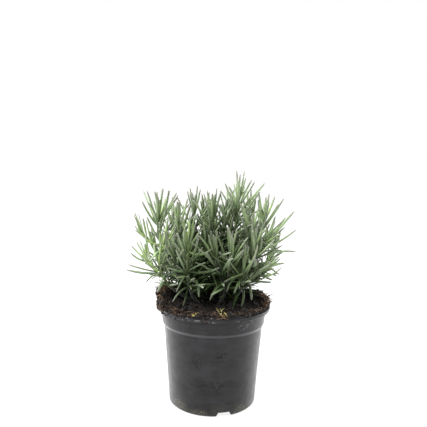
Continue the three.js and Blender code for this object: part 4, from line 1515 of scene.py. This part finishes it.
FIBRES = 620
EDGE_FIBRES = 420
PALE_FIBRES = 25  # at the pale scraps
FIBRE_LENGTHS = (3, 13)
EDGE_FIBRE_LENGTHS = (2, 7)
FIBRE_WIDTHS = (0.28, 0.7)
FIBRE_STEPS = 5
FIBRE_TAPER = {"after": 2, "share": 0.6}  # how its last stretches narrow
FIBRE_RISE = {"on_soil": 0.1, "elsewhere": 0.3, "stray": 0.8, "on_scraps": 0.9}
FIBRE_CURL = 7  # radians from one side to the other
FIBRE_DIP = 0.5  # how steeply its end points down
FIBRE_TWIST = 2  # radians at the most
FIBRE_HEIGHT = 0.2  # above the ground
# The tones where the fibres start, and how a fibre's own tone follows from that.
FIBRE_PLACES = {"scrap": 2, "edge": 0.2, "edge_sides": 0.8}
FIBRE_TONE = {"least": 0.12, "place": 0.3, "stray": 0.5, "most": 0.62}

CLODS = 240
CLOD_SIZES = (1.1, 3.2)
CLOD_FLAT = (0.6, 0.35)
CLOD_DEPTH = 9  # how far in from the edge they lie
CLOD_GATHER = 1.5  # how closely they keep to the edge: the more, the closer
CLOD_HEIGHT = (0.3, 0.85)  # as a share of the soil's height above the rim
CLOD_ROUGHNESS = {"size": 0.9, "depth": 0.5}
CLOD_TONE = {"least": 0.04, "middle": 0.3, "sides": 0.35, "growth": 1.5, "most": 0.6}

# Where crumbs and fibres gather: x, y, spread, share of them, and the least tone that they have.
GATHERINGS = [
    (-45, 2, 7, 0.12, 0.75),
    (46, 4, 7, 0.12, 0.8),
    (-14, -44, 6, 0.06, 0.2),
    (6, -45, 5, 0.05, 0.3),
    (30, -36, 8, 0.05, 0.1),
]
# Where clods lie: direction in degrees, half-width in degrees, and share of them.
CLOD_ARCS = [
    (178, 26, 0.3),
    (5, 24, 0.3),
    (-90, 75, 0.25),
    (90, 60, 0.15),
]
PALE_SCRAPS = [
    (-17, -47.5),
    (6, -45.5),
    (7.5, -48.5),
    (5, -41),
    (12, -47),
]
EDGE_STRAY = {"inwards": 0.4, "outwards": 0.6, "above_rim": 0.4}  # of what lies on the soil's edge
# How far the peat is spilt over the lip: on the whole, more to the left than to the right, in
# patches, and how far past the lip it reaches.
SPILT = {"share": 0.9, "left": 0.7, "patches": 4, "start": 3, "growth": 0.7, "past": 0.2}
# Painted shade on the loose peat: darkest in the middle, under the plant.
PAINTED_DAYLIGHT = {"least": 0.35, "more": 0.65, "growth": 3}
EDGE_MARGIN = 0.5  # what lies this close to the soil's edge has fallen off it


def place_at(turn, away):
    """The place at a distance from the pot's axis, in the direction of a turn."""
    return away * math.cos(turn), away * math.sin(turn)


def slumped(x, y):
    """How far the soil's surface has slumped at a place."""
    turn = math.atan2(y, x)
    off = degrees_off(turn, SLUMP["direction"])
    outside = math.hypot(x, y) - soil_edge(turn) + SLUMP["width"]
    share = min(1, max(0, outside / SLUMP["width"]))
    return SLUMP["drop"] * share ** SLUMP["growth"] * math.exp(-((off / SLUMP["half_width"]) ** 2))


def surface(x, y):
    """The height of the soil with its lumps, and of the dips where the stems come out."""
    z = max(float(soil_top(x, y)) - slumped(x, y), POT_HEIGHT + SOIL_LEAST)
    for size, height in LUMPS:
        z += height * noise.noise(Vector((x / size, y / size, size)))
    for stem in STEMS:
        away = math.dist((x, y), stem["foot"])
        z -= STEM_DIP["depth"] * math.exp(-((away / STEM_DIP["spread"]) ** 2))
    return z


def ragged_edge(turn):
    """The radius of the soil's edge above the rim, crumbled."""
    x, y = place_at(turn, RAGS["count"])
    return soil_edge(turn) + RAGS["depth"] * noise.noise(Vector((x, y, 0)))


def soil_profile():
    """The soil's section. The heights from SOIL_MARK on number the rings of its upper side."""
    floor = FLOOR_Z + FLOOR_WALL + GAP
    inside = [
        (0, FLOOR_WALL + GAP),
        (PAD_RADIUS - 2 * PAD_STEP, FLOOR_WALL + GAP),
        (PAD_RADIUS + FLOOR_SLOPE - 2 * PAD_STEP, floor),
        (FOOT_RADIUS - FLOOR_EDGE - SOIL_EASE, floor),
        (body_radius(floor + FLOOR_SLOPE) - WALL - GAP, floor + FLOOR_SLOPE),
        (BODY_TOP_RADIUS - WALL - GAP, SHOULDER_Z - 3 * SHOULDER_DROP),
        (BAND_FOOT_RADIUS - WALL - GAP, BAND_FOOT_Z),
        (BAND_TOP_RADIUS - WALL - GAP, POT_HEIGHT),
    ]
    upright = [(SOIL_EDGE_RADIUS, SOIL_MARK), (SOIL_EDGE_RADIUS, SOIL_MARK + 1)]
    shares = [1 - i / SOIL_RINGS for i in range(SOIL_RINGS + 1)]
    over = [(SOIL_EDGE_RADIUS * share, SOIL_MARK + 2 + i) for i, share in enumerate(shares)]
    return inside + upright + over


def upper_place(ring, point):
    """Where a point of one of the upper side's rings belongs, in mm."""
    turn = math.atan2(point.y, point.x)
    radius = ragged_edge(turn) * point.xy.length / MM / SOIL_EDGE_RADIUS
    x, y = place_at(turn, radius)
    top = surface(x, y)
    foot = POT_HEIGHT + GAP
    heights = [foot, foot + SOIL_TURN * (top - POT_HEIGHT)]
    return x, y, heights[ring] if ring < 2 else top


def shape_soil(bm):
    """Moves the upper side's rings to the edge and the surface, and gives each point's tone."""
    tones = []
    least, more = SOIL_TONE
    for point in bm.verts:
        ring = round(point.co.z / MM) - SOIL_MARK
        if ring >= 0:
            x, y, z = upper_place(ring, point.co)
            point.co = (x * MM, y * MM, z * MM)
        patch = noise.noise(point.co * (1 / (SOIL_PATCH * MM)))
        tones.append(max(0, least + more * patch))
    return tones


def make_soil(finish):
    bm = spun(soil_profile(), SOIL_SIDES)
    bm.verts.ensure_lookup_table()
    tones = shape_soil(bm)
    smooth_faces(bm, math.pi)
    piece = make_piece("peat_soil", bm, [finish], "soil")
    set_marks(piece.data, {"tone": tones})


def edge_place(draw):
    """A place on the upright face of the soil's edge, above the rim."""
    turn = 2 * math.pi * draw()
    radius = ragged_edge(turn) - EDGE_STRAY["inwards"] + EDGE_STRAY["outwards"] * draw()
    x, y = place_at(turn, radius)
    return x, y, POT_HEIGHT + EDGE_STRAY["above_rim"] + (surface(x, y) - POT_HEIGHT) * draw()


def lip_place(draw):
    """A place on the pot's lip or down its face, where the soil has been spilt."""
    turn = 2 * math.pi * draw()
    x, y = place_at(turn, SPILT["patches"])
    patch = noise.noise(Vector((x, y, SPILT["start"])))
    spilt = SPILT["share"] - SPILT["left"] * math.cos(turn) + patch
    share = spilt * draw() ** SPILT["growth"]
    away = SOIL_EDGE_RADIUS + (LIP_RADIUS + SPILT["past"] - SOIL_EDGE_RADIUS) * min(1, share)
    z = POT_HEIGHT - (LIP_DROP * draw() if share > 1 else 0)
    return *place_at(turn, away), z


def painted_daylight(x, y):
    """How pale the peat is: darker among the stems with painted shade under the plant, paler towards the
    rim.
    """
    share = min(1, math.hypot(x, y) / SOIL_EDGE_RADIUS)
    return PAINTED_DAYLIGHT["least"] + PAINTED_DAYLIGHT["more"] * share ** PAINTED_DAYLIGHT["growth"]


def scattered(draw):
    """A place on the soil, often in one of the gatherings, and the least tone there."""
    pick = draw()
    for x, y, spread, share, tone in GATHERINGS:
        if pick < share:
            turn = 2 * math.pi * draw()
            along, across = place_at(turn, spread * math.sqrt(draw()))
            return x + along, y + across, tone
        pick -= share
    turn = 2 * math.pi * draw()
    return *place_at(turn, SOIL_EDGE_RADIUS * math.sqrt(draw())), 0


def ground(x, y):
    """The height of what lies at a place: the soil, the lip, or nothing."""
    away = math.hypot(x, y)
    if away < soil_edge(math.atan2(y, x)) - EDGE_MARGIN:
        return surface(x, y)
    if away < LIP_RADIUS - LIP_EDGE:
        return POT_HEIGHT
    return None


class Copies:
    """Copies of small meshes, each laid out on its own, gathered into one bmesh."""

    def __init__(self):
        self.bm = bmesh.new()
        self.places = []
        self.marks = {}

    def add(self, mesh, places, **marks):
        """One copy with its points at these places, in mm, and a value or a list for each mark."""
        self.bm.from_mesh(mesh, face_normals=False, vertex_normals=False)
        self.places.append(np.asarray(places) * MM)
        for name, value in marks.items():
            values = np.broadcast_to(np.asarray(value, float), len(places))
            self.marks.setdefault(name, []).append(values)

    def finish(self, name, materials, node, slot_name):
        for point, place in zip(self.bm.verts, np.vstack(self.places)):
            point.co = place
        smooth_faces(self.bm, math.pi)
        piece = make_piece(name, self.bm, materials, node)
        set_marks(piece.data, {mark: np.concatenate(values) for mark, values in self.marks.items()})
        return piece


def points_of(mesh):
    return np.array([tuple(point.co) for point in mesh.vertices])


def small_ball(subdivisions):
    bm = bmesh.new()
    bmesh.ops.create_icosphere(bm, subdivisions=subdivisions, radius=1)
    return mesh_from(bm, "ball")


def crumpled(points, size, flat, draw):
    """A ball's points made into an uneven crumb, turned at random."""
    uneven = np.array([drawn_above(draw, CRUMPLE["points"]) for _ in points])[:, None]
    stretch = np.array([1, drawn_above(draw, CRUMPLE["width"]), flat])
    tilt = CRUMPLE["tilt"]
    turn = Euler((tilt * draw(), tilt * draw(), 2 * math.pi * draw())).to_matrix()
    return (points * uneven * stretch * size) @ np.array(turn).T


def crumb_place(i, draw):
    """Where one of the crumbs lies, the tone there, and how its size is scaled."""
    if i < CRUMBS:
        x, y, tone = scattered(draw)
        return x, y, ground(x, y), tone, LUMP_SCALE if draw() < LUMP_SHARE else 1
    if i < CRUMBS + EDGE_CRUMBS:
        return *edge_place(draw), CRUMB_TONE["edge"], 1
    x, y, height = lip_place(draw)
    tone = CRUMB_TONE["lip"] + CRUMB_TONE["lip_sides"] * (x / LIP_RADIUS) ** 4
    return x, y, height, tone, LIP_SCALE


def crumb_tone(tone, draw):
    """A crumb's own tone, given the tone where it lies."""
    own = tone * draw() + CRUMB_TONE["stray"] * draw() ** CRUMB_TONE["growth"]
    return min(CRUMB_TONE["most"], own)


def add_scraps(copies, ball, points, draw):
    """The crumbs of the pale scraps."""
    for x, y in PALE_SCRAPS:
        body = crumpled(points, drawn_above(draw, SCRAP_SIZE), SCRAP_FLAT, draw)
        height = (ground(x, y) or POT_HEIGHT) + SCRAP_RISE
        copies.add(ball, body + (x, y, height), tone=SCRAP_TONE)


def make_crumbs(finish):
    """Loose crumbs on the soil, on its edge and on the lip, and the pale scraps."""
    draw = draws_from(CRUMB_SEED)
    ball = small_ball(1)
    points = points_of(ball)
    copies = Copies()
    for i in range(CRUMBS + EDGE_CRUMBS + LIP_CRUMBS):
        size = drawn_between(draw, CRUMB_SIZES)
        x, y, height, tone, scale = crumb_place(i, draw)
        size *= scale
        body = crumpled(points, size, drawn_above(draw, CRUMB_FLAT), draw)
        # painted shade: darker towards the middle, under the plant
        tone = crumb_tone(tone, draw) * painted_daylight(x, y)
        if height is not None:
            copies.add(ball, body + (x, y, height + CRUMB_RISE * size), tone=tone)
    add_scraps(copies, ball, points, draw)
    copies.finish("peat_crumbs", [finish], None, "peat")


def clod_place(draw):
    """A place on the soil's edge where clods lie, mostly at the left and the right."""
    pick = draw()
    for direction, half_width, share in CLOD_ARCS:
        if pick < share:
            turn = math.radians(direction + half_width * (2 * draw() - 1))
            x, y = place_at(turn, ragged_edge(turn) - CLOD_DEPTH * draw() ** CLOD_GATHER)
            return x, y, POT_HEIGHT + (surface(x, y) - POT_HEIGHT) * drawn_above(draw, CLOD_HEIGHT)
        pick -= share


def roughened(body, place):
    """A clod's points, pushed in and out."""
    shift = Vector(place)
    size = CLOD_ROUGHNESS["size"]
    rough = np.array([noise.noise(Vector(point) * size + shift) for point in body])
    return body * (1 + CLOD_ROUGHNESS["depth"] * rough)[:, None]


def make_clods(finish):
    """Coarse lumps of peat that stand up from the soil's edge."""
    draw = draws_from(CLOD_SEED)
    ball = small_ball(2)
    points = points_of(ball)
    copies = Copies()
    for _ in range(CLODS):
        x, y, z = clod_place(draw)
        size = drawn_between(draw, CLOD_SIZES)
        body = roughened(crumpled(points, size, drawn_above(draw, CLOD_FLAT), draw), (x, y, z))
        brown = CLOD_TONE["middle"] + CLOD_TONE["sides"] * (x / SOIL_EDGE_RADIUS) ** 4
        tone = CLOD_TONE["least"] + min(CLOD_TONE["most"], brown * draw() ** CLOD_TONE["growth"])
        copies.add(ball, body + (x, y, z), tone=tone)
    copies.finish("peat_clods", [finish], None, "peat")


def fibre_mesh():
    """A strip of three sides and FIBRE_STEPS stretches, along Y from 0 to 1."""
    bm = bmesh.new()
    bmesh.ops.create_circle(bm, segments=3, radius=1, matrix=Matrix.Rotation(math.pi / 2, 4, "X"))
    ring = list(bm.edges)
    bmesh.ops.edgeloop_fill(bm, edges=ring)
    taper = FIBRE_TAPER["share"]
    for i in range(FIBRE_STEPS):
        points, ring = extruded(bm, ring)
        bmesh.ops.translate(bm, verts=points, vec=(0, 1 / FIBRE_STEPS, 0))
        if i > FIBRE_TAPER["after"]:
            bmesh.ops.scale(bm, verts=points, vec=(taper, 1, taper))
    bmesh.ops.edgeloop_fill(bm, edges=ring)
    bmesh.ops.recalc_face_normals(bm, faces=bm.faces)
    return mesh_from(bm, "fibre")


def curled_midline(root, heading, curl, length):
    """A midline that keeps turning sideways and dips at its end."""
    points = [root]
    for i in range(LEAF_STEPS):
        heading = turned_about(heading, UP, curl / LEAF_STEPS)
        along = unit(heading - UP * FIBRE_DIP * i / LEAF_STEPS)
        points.append(points[-1] + along * (length / LEAF_STEPS))
    return np.array(points)


def fibre_place(i, draw):
    """Where one of the fibres starts, and the tone there."""
    if i < FIBRES:
        x, y, tone = scattered(draw)
        return x, y, ground(x, y), tone
    if i < FIBRES + EDGE_FIBRES:
        x, y, height = edge_place(draw)
        tone = FIBRE_PLACES["edge"] + FIBRE_PLACES["edge_sides"] * (x / SOIL_EDGE_RADIUS) ** 4
        return x, y, height, tone
    x, y = PALE_SCRAPS[i % len(PALE_SCRAPS)]
    return x, y, ground(x, y) or POT_HEIGHT, FIBRE_PLACES["scrap"]


def fibre_heading(i, draw):
    """The direction in which one of the fibres sets out."""
    turn = 2 * math.pi * draw()
    rise = FIBRE_RISE["on_soil"] if i < FIBRES else FIBRE_RISE["elsewhere"]
    rise += FIBRE_RISE["stray"] * draw() ** 2
    if i >= FIBRES + EDGE_FIBRES:
        rise += FIBRE_RISE["on_scraps"]
    return unit(np.array([math.cos(turn), math.sin(turn), rise]))


def make_fibres(finish):
    """Fibres of peat on the soil, out of its edge and on the pale scraps."""
    draw = draws_from(FIBRE_SEED)
    strip = fibre_mesh()
    shape = points_of(strip)
    copies = Copies()
    for i in range(FIBRES + EDGE_FIBRES + PALE_FIBRES):
        x, y, height, tone = fibre_place(i, draw)
        length = drawn_between(draw, FIBRE_LENGTHS if i < FIBRES else EDGE_FIBRE_LENGTHS)
        heading = fibre_heading(i, draw)
        curl = FIBRE_CURL * (draw() - 0.5)
        width = drawn_between(draw, FIBRE_WIDTHS)
        own = FIBRE_TONE["least"] + FIBRE_TONE["place"] * tone + FIBRE_TONE["stray"] * draw()
        # painted shade: darker towards the middle, under the plant
        tone = own * painted_daylight(x, y)
        if i < FIBRES + EDGE_FIBRES:
            tone = min(FIBRE_TONE["most"], tone)
        if height is None:
            continue
        root = np.array([x, y, height + FIBRE_HEIGHT])
        points = curled_midline(root, heading, curl, length)
        side = unit(np.cross(heading, UP))
        strand = SimpleNamespace(points=points, width=width, side=side, twist=FIBRE_TWIST * draw())
        copies.add(strip, laid_out(shape, strand, 0.5 * width), tone=tone)
    copies.finish("peat_fibres", [finish], None, "peat")


# ------------------------------------------------------------------ leafy stems

# Half of a leaf's section, from the groove above round to the midrib below: across, up.
LEAF_SECTION = [
    (0, 0.12),
    (0.52, 0.5),
    (1, 0.05),
    (0.72, -0.45),
    (0, -0.62),
]
SMALL_SECTION = [
    (0, 0.1),
    (0.6, 0.45),
    (0.9, -0.3),
    (0, -0.6),
]
# Along a leaf from its root: share of the length, width and thickness.
LEAF_STATIONS = [
    (0, 0.34, 0.8),
    (0.1, 0.62, 0.9),
    (0.3, 0.98, 1),
    (0.55, 1, 1),
    (0.76, 0.92, 0.95),
    (0.89, 0.74, 0.85),
    (0.965, 0.46, 0.6),
]
SMALL_STATIONS = [
    (0, 0.5, 0.8),
    (0.35, 1, 1),
    (0.75, 0.88, 0.9),
    (0.95, 0.52, 0.6),
]
LEAF_THICKNESS = 1.25
SMALL_THICKNESS = 0.6 * LEAF_THICKNESS
LEAF_BREADTH = 0.92  # of the finished leaf, as a share of the width that it was laid out with
UNDERSIDE = -0.02  # points of a leaf's section lower than this are on its underside
STEM_STATION = 1.4  # between the rings of a stem
STEM_SIDES = 8
STEM_FLAT = 0.84  # radius at the middle of a square stem's sides
STEM_END = 0.6  # share of its radius that a shoot's last ring has
JOINT = {"swell": 0.2, "spread": 0.9}  # at each pair of leaves
WOODY_LENGTH = 34  # how far up from the rim the bark reaches
YOUNG_LENGTH = 24  # how far down from a shoot's tip the leaves are a young green
FRESHNESS = {"more": 0.3, "stray": 0.3}  # of the young leaves, past their stem's
SMALL_FRESHNESS = {"least": 0.45, "stem": 0.6}
TINT_SEED = 51203
# Painted shade inside the plant: an ellipsoid, and how the painted shade grows inwards.
INNER = {"middle": (0, -3, 93), "wide": 58, "deep": 60, "high": 105, "full": 0.43, "growth": 0.85}


def leaf_mesh(section, stations, name):
    """A straight leaf along Y from 0 to 1, half its width and its thickness both 1."""
    bm = bmesh.new()
    bmesh.ops.create_circle(bm, segments=2 * len(section) - 2, radius=1)
    around = list(section) + [(-x, z) for x, z in reversed(section[1:-1])]
    for point, (x, z) in zip(bm.verts, around):
        point.co = (x, 0, z)
    ring = list(bm.edges)
    bmesh.ops.edgeloop_fill(bm, edges=ring)
    at, wide, thick = 0, 1, 1
    points = list(bm.verts)
    for i, (share, width, thickness) in enumerate(stations):
        if i:
            points, ring = extruded(bm, ring)
        bmesh.ops.scale(bm, verts=points, vec=(width / wide, 1, thickness / thick))
        bmesh.ops.translate(bm, verts=points, vec=(0, share - at, 0))
        at, wide, thick = share, width, thickness
    points, ring = extruded(bm, ring)
    bmesh.ops.pointmerge(bm, verts=points, merge_co=(0, 1, 0))
    bmesh.ops.recalc_face_normals(bm, faces=bm.faces)
    return mesh_from(bm, name)


def rows_of_units(rows):
    return rows / np.linalg.norm(rows, axis=1)[:, None]


def laid_out(shape, leaf, half_width, thickness=None):
    """A straight shape's points (across, along, up) laid along a leaf's midline, in mm."""
    steps = shape[:, 1] * LEAF_STEPS

    def on_midline(numbers):
        return np.column_stack([np.interp(numbers, MIDLINE, axis) for axis in leaf.points.T])

    centre = on_midline(steps)
    along = rows_of_units(on_midline(steps + 1) - on_midline(steps - 1))
    across = rows_of_units(leaf.side - along * (along @ leaf.side)[:, None])
    above = np.cross(along, across)
    turn = (leaf.twist * shape[:, 1])[:, None]
    across, above = (
        across * np.cos(turn) - above * np.sin(turn),
        above * np.cos(turn) + across * np.sin(turn),
    )
    depth = half_width if thickness is None else thickness
    return centre + across * shape[:, :1] * half_width + above * shape[:, 2:] * depth


def frame_at(centre, heading, across, radius):
    """The matrix that puts a unit ring at a place on a stem, square to its heading."""
    across = unit(across - heading * (across @ heading))
    other = np.cross(heading, across)
    columns = np.column_stack([across * radius, other * radius, heading * radius, centre])
    return Matrix([*columns.tolist(), (0, 0, 0, 1)]), across


def swelling(shoot, below):
    """How much thicker a stem is at a distance below its tip, because of its pairs."""
    away = min((abs(below - at) for at, _ in shoot.pairs), default=CELL)
    return 1 + JOINT["swell"] * math.exp(-((away / JOINT["spread"]) ** 2))


def shoot_stations(shoot, foot):
    """Centre, heading, radius and barkiness of each of a shoot's rings."""
    stations = []
    if foot:
        x, y = foot
        stations.append((np.array([x, y, soil_top(x, y) - HOLE_DEPTH + GAP]), UP, STEM_FOOT_RADIUS, 1))
    steps = math.ceil(shoot.length / STEM_STATION)
    for i in range(steps + 1):
        t = i / steps
        radius = radius_at(shoot, t) * swelling(shoot, (1 - t) * shoot.length)
        if i == steps:
            radius *= STEM_END
        centre = shoot_point(shoot, t)
        woody = max(0, 1 - (centre[2] - POT_HEIGHT) / WOODY_LENGTH)
        stations.append((centre, shoot_heading(shoot, t), radius, woody))
    return stations


def shoot_mesh(shoot, foot):
    """A square stem along a shoot, and down into the soil if it stands there."""
    bm = bmesh.new()
    spin = Matrix.Rotation(shoot.turn, 4, "Z")
    bmesh.ops.create_circle(bm, segments=STEM_SIDES, radius=1, matrix=spin)
    for point in list(bm.verts)[1::2]:
        point.co *= STEM_FLAT
    ring = list(bm.edges)
    bmesh.ops.edgeloop_fill(bm, edges=ring)
    points = list(bm.verts)
    before = Matrix.Identity(4)
    across = SIDE
    woody = []
    for i, (centre, heading, radius, bark) in enumerate(shoot_stations(shoot, foot)):
        if i:
            points, ring = extruded(bm, ring)
        place, across = frame_at(centre, heading, across, radius)
        bmesh.ops.transform(bm, matrix=place @ before.inverted(), verts=points)
        before = place
        woody += [bark] * STEM_SIDES
    bmesh.ops.edgeloop_fill(bm, edges=ring)
    bmesh.ops.recalc_face_normals(bm, faces=bm.faces)
    for face in bm.faces:
        face.material_index = 1
    return mesh_from(bm, "shoot"), woody


def inner_share(places):
    """How deep inside the plant places in mm lie: 0 on its outside, 1 round its foot. It sets the painted
    shade.
    """
    sizes = np.array([INNER["wide"], INNER["deep"], INNER["high"]])
    away = np.linalg.norm((np.asarray(places) - INNER["middle"]) / sizes, axis=1)
    return np.clip((1 - away) / INNER["full"], 0, 1) ** INNER["growth"]


def section_marks(shape, stations):
    """How far each point of a leaf lies across it, and whether it is on the underside."""
    widths = np.interp(shape[:, 1], [s[0] for s in stations], [s[1] for s in stations])
    across = np.minimum(1, np.abs(shape[:, 0]) / widths)
    under = (shape[:, 2] < UNDERSIDE).astype(float)
    return across, under


def leaf_template(section, stations, name):
    """A straight leaf's mesh, its points and their marks."""
    mesh = leaf_mesh(section, stations, name)
    shape = points_of(mesh)
    return mesh, shape, section_marks(shape, stations)


def add_leaf(copies, template, leaf, fresh, draw, thickness, inner=0):
    """One leaf laid along its midline, with at least as much painted shade as given."""
    mesh, shape, (across, under) = template
    half_width = 0.5 * leaf.width * LEAF_BREADTH
    places = laid_out(shape, leaf, half_width, thickness)
    copies.add(
        mesh,
        places,
        inner=np.maximum(inner, inner_share(places)),
        along=shape[:, 1],
        across=across,
        under=under,
        draw=draw(),
        fresh=fresh,
        woody=0,
    )


def add_shoot(copies, shoot, foot, fresh):
    """A shoot's square stem, which has none of a leaf's marks."""
    mesh, woody = shoot_mesh(shoot, foot)
    places = points_of(mesh)
    copies.add(
        mesh,
        places,
        inner=inner_share(places),
        along=0,
        across=0,
        under=0,
        draw=0,
        fresh=fresh,
        woody=woody,
    )


def leaf_freshness(stem, leaf, draw):
    """How young a green a leaf has: the more, the closer it is to its shoot's tip."""
    young = max(0, 1 - leaf.below / YOUNG_LENGTH)
    fresh = (FRESHNESS["more"] + stem.fresh) * young + FRESHNESS["stray"] * (draw() - 0.5)
    return min(1, max(0, fresh))


def make_leafy_stem(stem, leaf_shape, small_shape, finishes, draw):
    """One plant stem: its shoots, its leaves and the small growth between them."""
    copies = Copies()
    for i, shoot in enumerate(stem.shoots):
        add_shoot(copies, shoot, None if i else stem.foot, stem.fresh)
    for leaf in stem.leaves:
        fresh = leaf_freshness(stem, leaf, draw)
        add_leaf(copies, leaf_shape, leaf, fresh, draw, LEAF_THICKNESS)
    small_fresh = min(1, SMALL_FRESHNESS["least"] + SMALL_FRESHNESS["stem"] * stem.fresh)
    for leaf in stem.small_leaves:
        add_leaf(copies, small_shape, leaf, small_fresh, draw, SMALL_THICKNESS)
    for leaf in stem.undergrowth:
        add_leaf(copies, small_shape, leaf, 0, draw, SMALL_THICKNESS, UNDERGROWTH["inner"])
    name = stem.name.replace("leafy_stem", "lavender_stem")
    copies.finish(name, finishes, stem.name, "lavender_leaf")


def make_plant():
    """All the stems with their leaves, each a piece of its own."""
    plant, places = grow_plant()
    grow_small_leaves(plant, places)
    finishes = [leaf_finish(), stem_finish()]
    leaf_shape = leaf_template(LEAF_SECTION, LEAF_STATIONS, "leaf")
    small_shape = leaf_template(SMALL_SECTION, SMALL_STATIONS, "small_leaf")
    draw = draws_from(TINT_SEED)
    for stem in plant:
        make_leafy_stem(stem, leaf_shape, small_shape, finishes, draw)


# ------------------------------------------------------------------ the scene

make_camera()
make_sky()
make_lamps()
make_floor()
make_pot()
peat = peat_finish()
make_soil(peat)
make_crumbs(peat)
make_clods(peat)
make_fibres(peat)
make_plant()
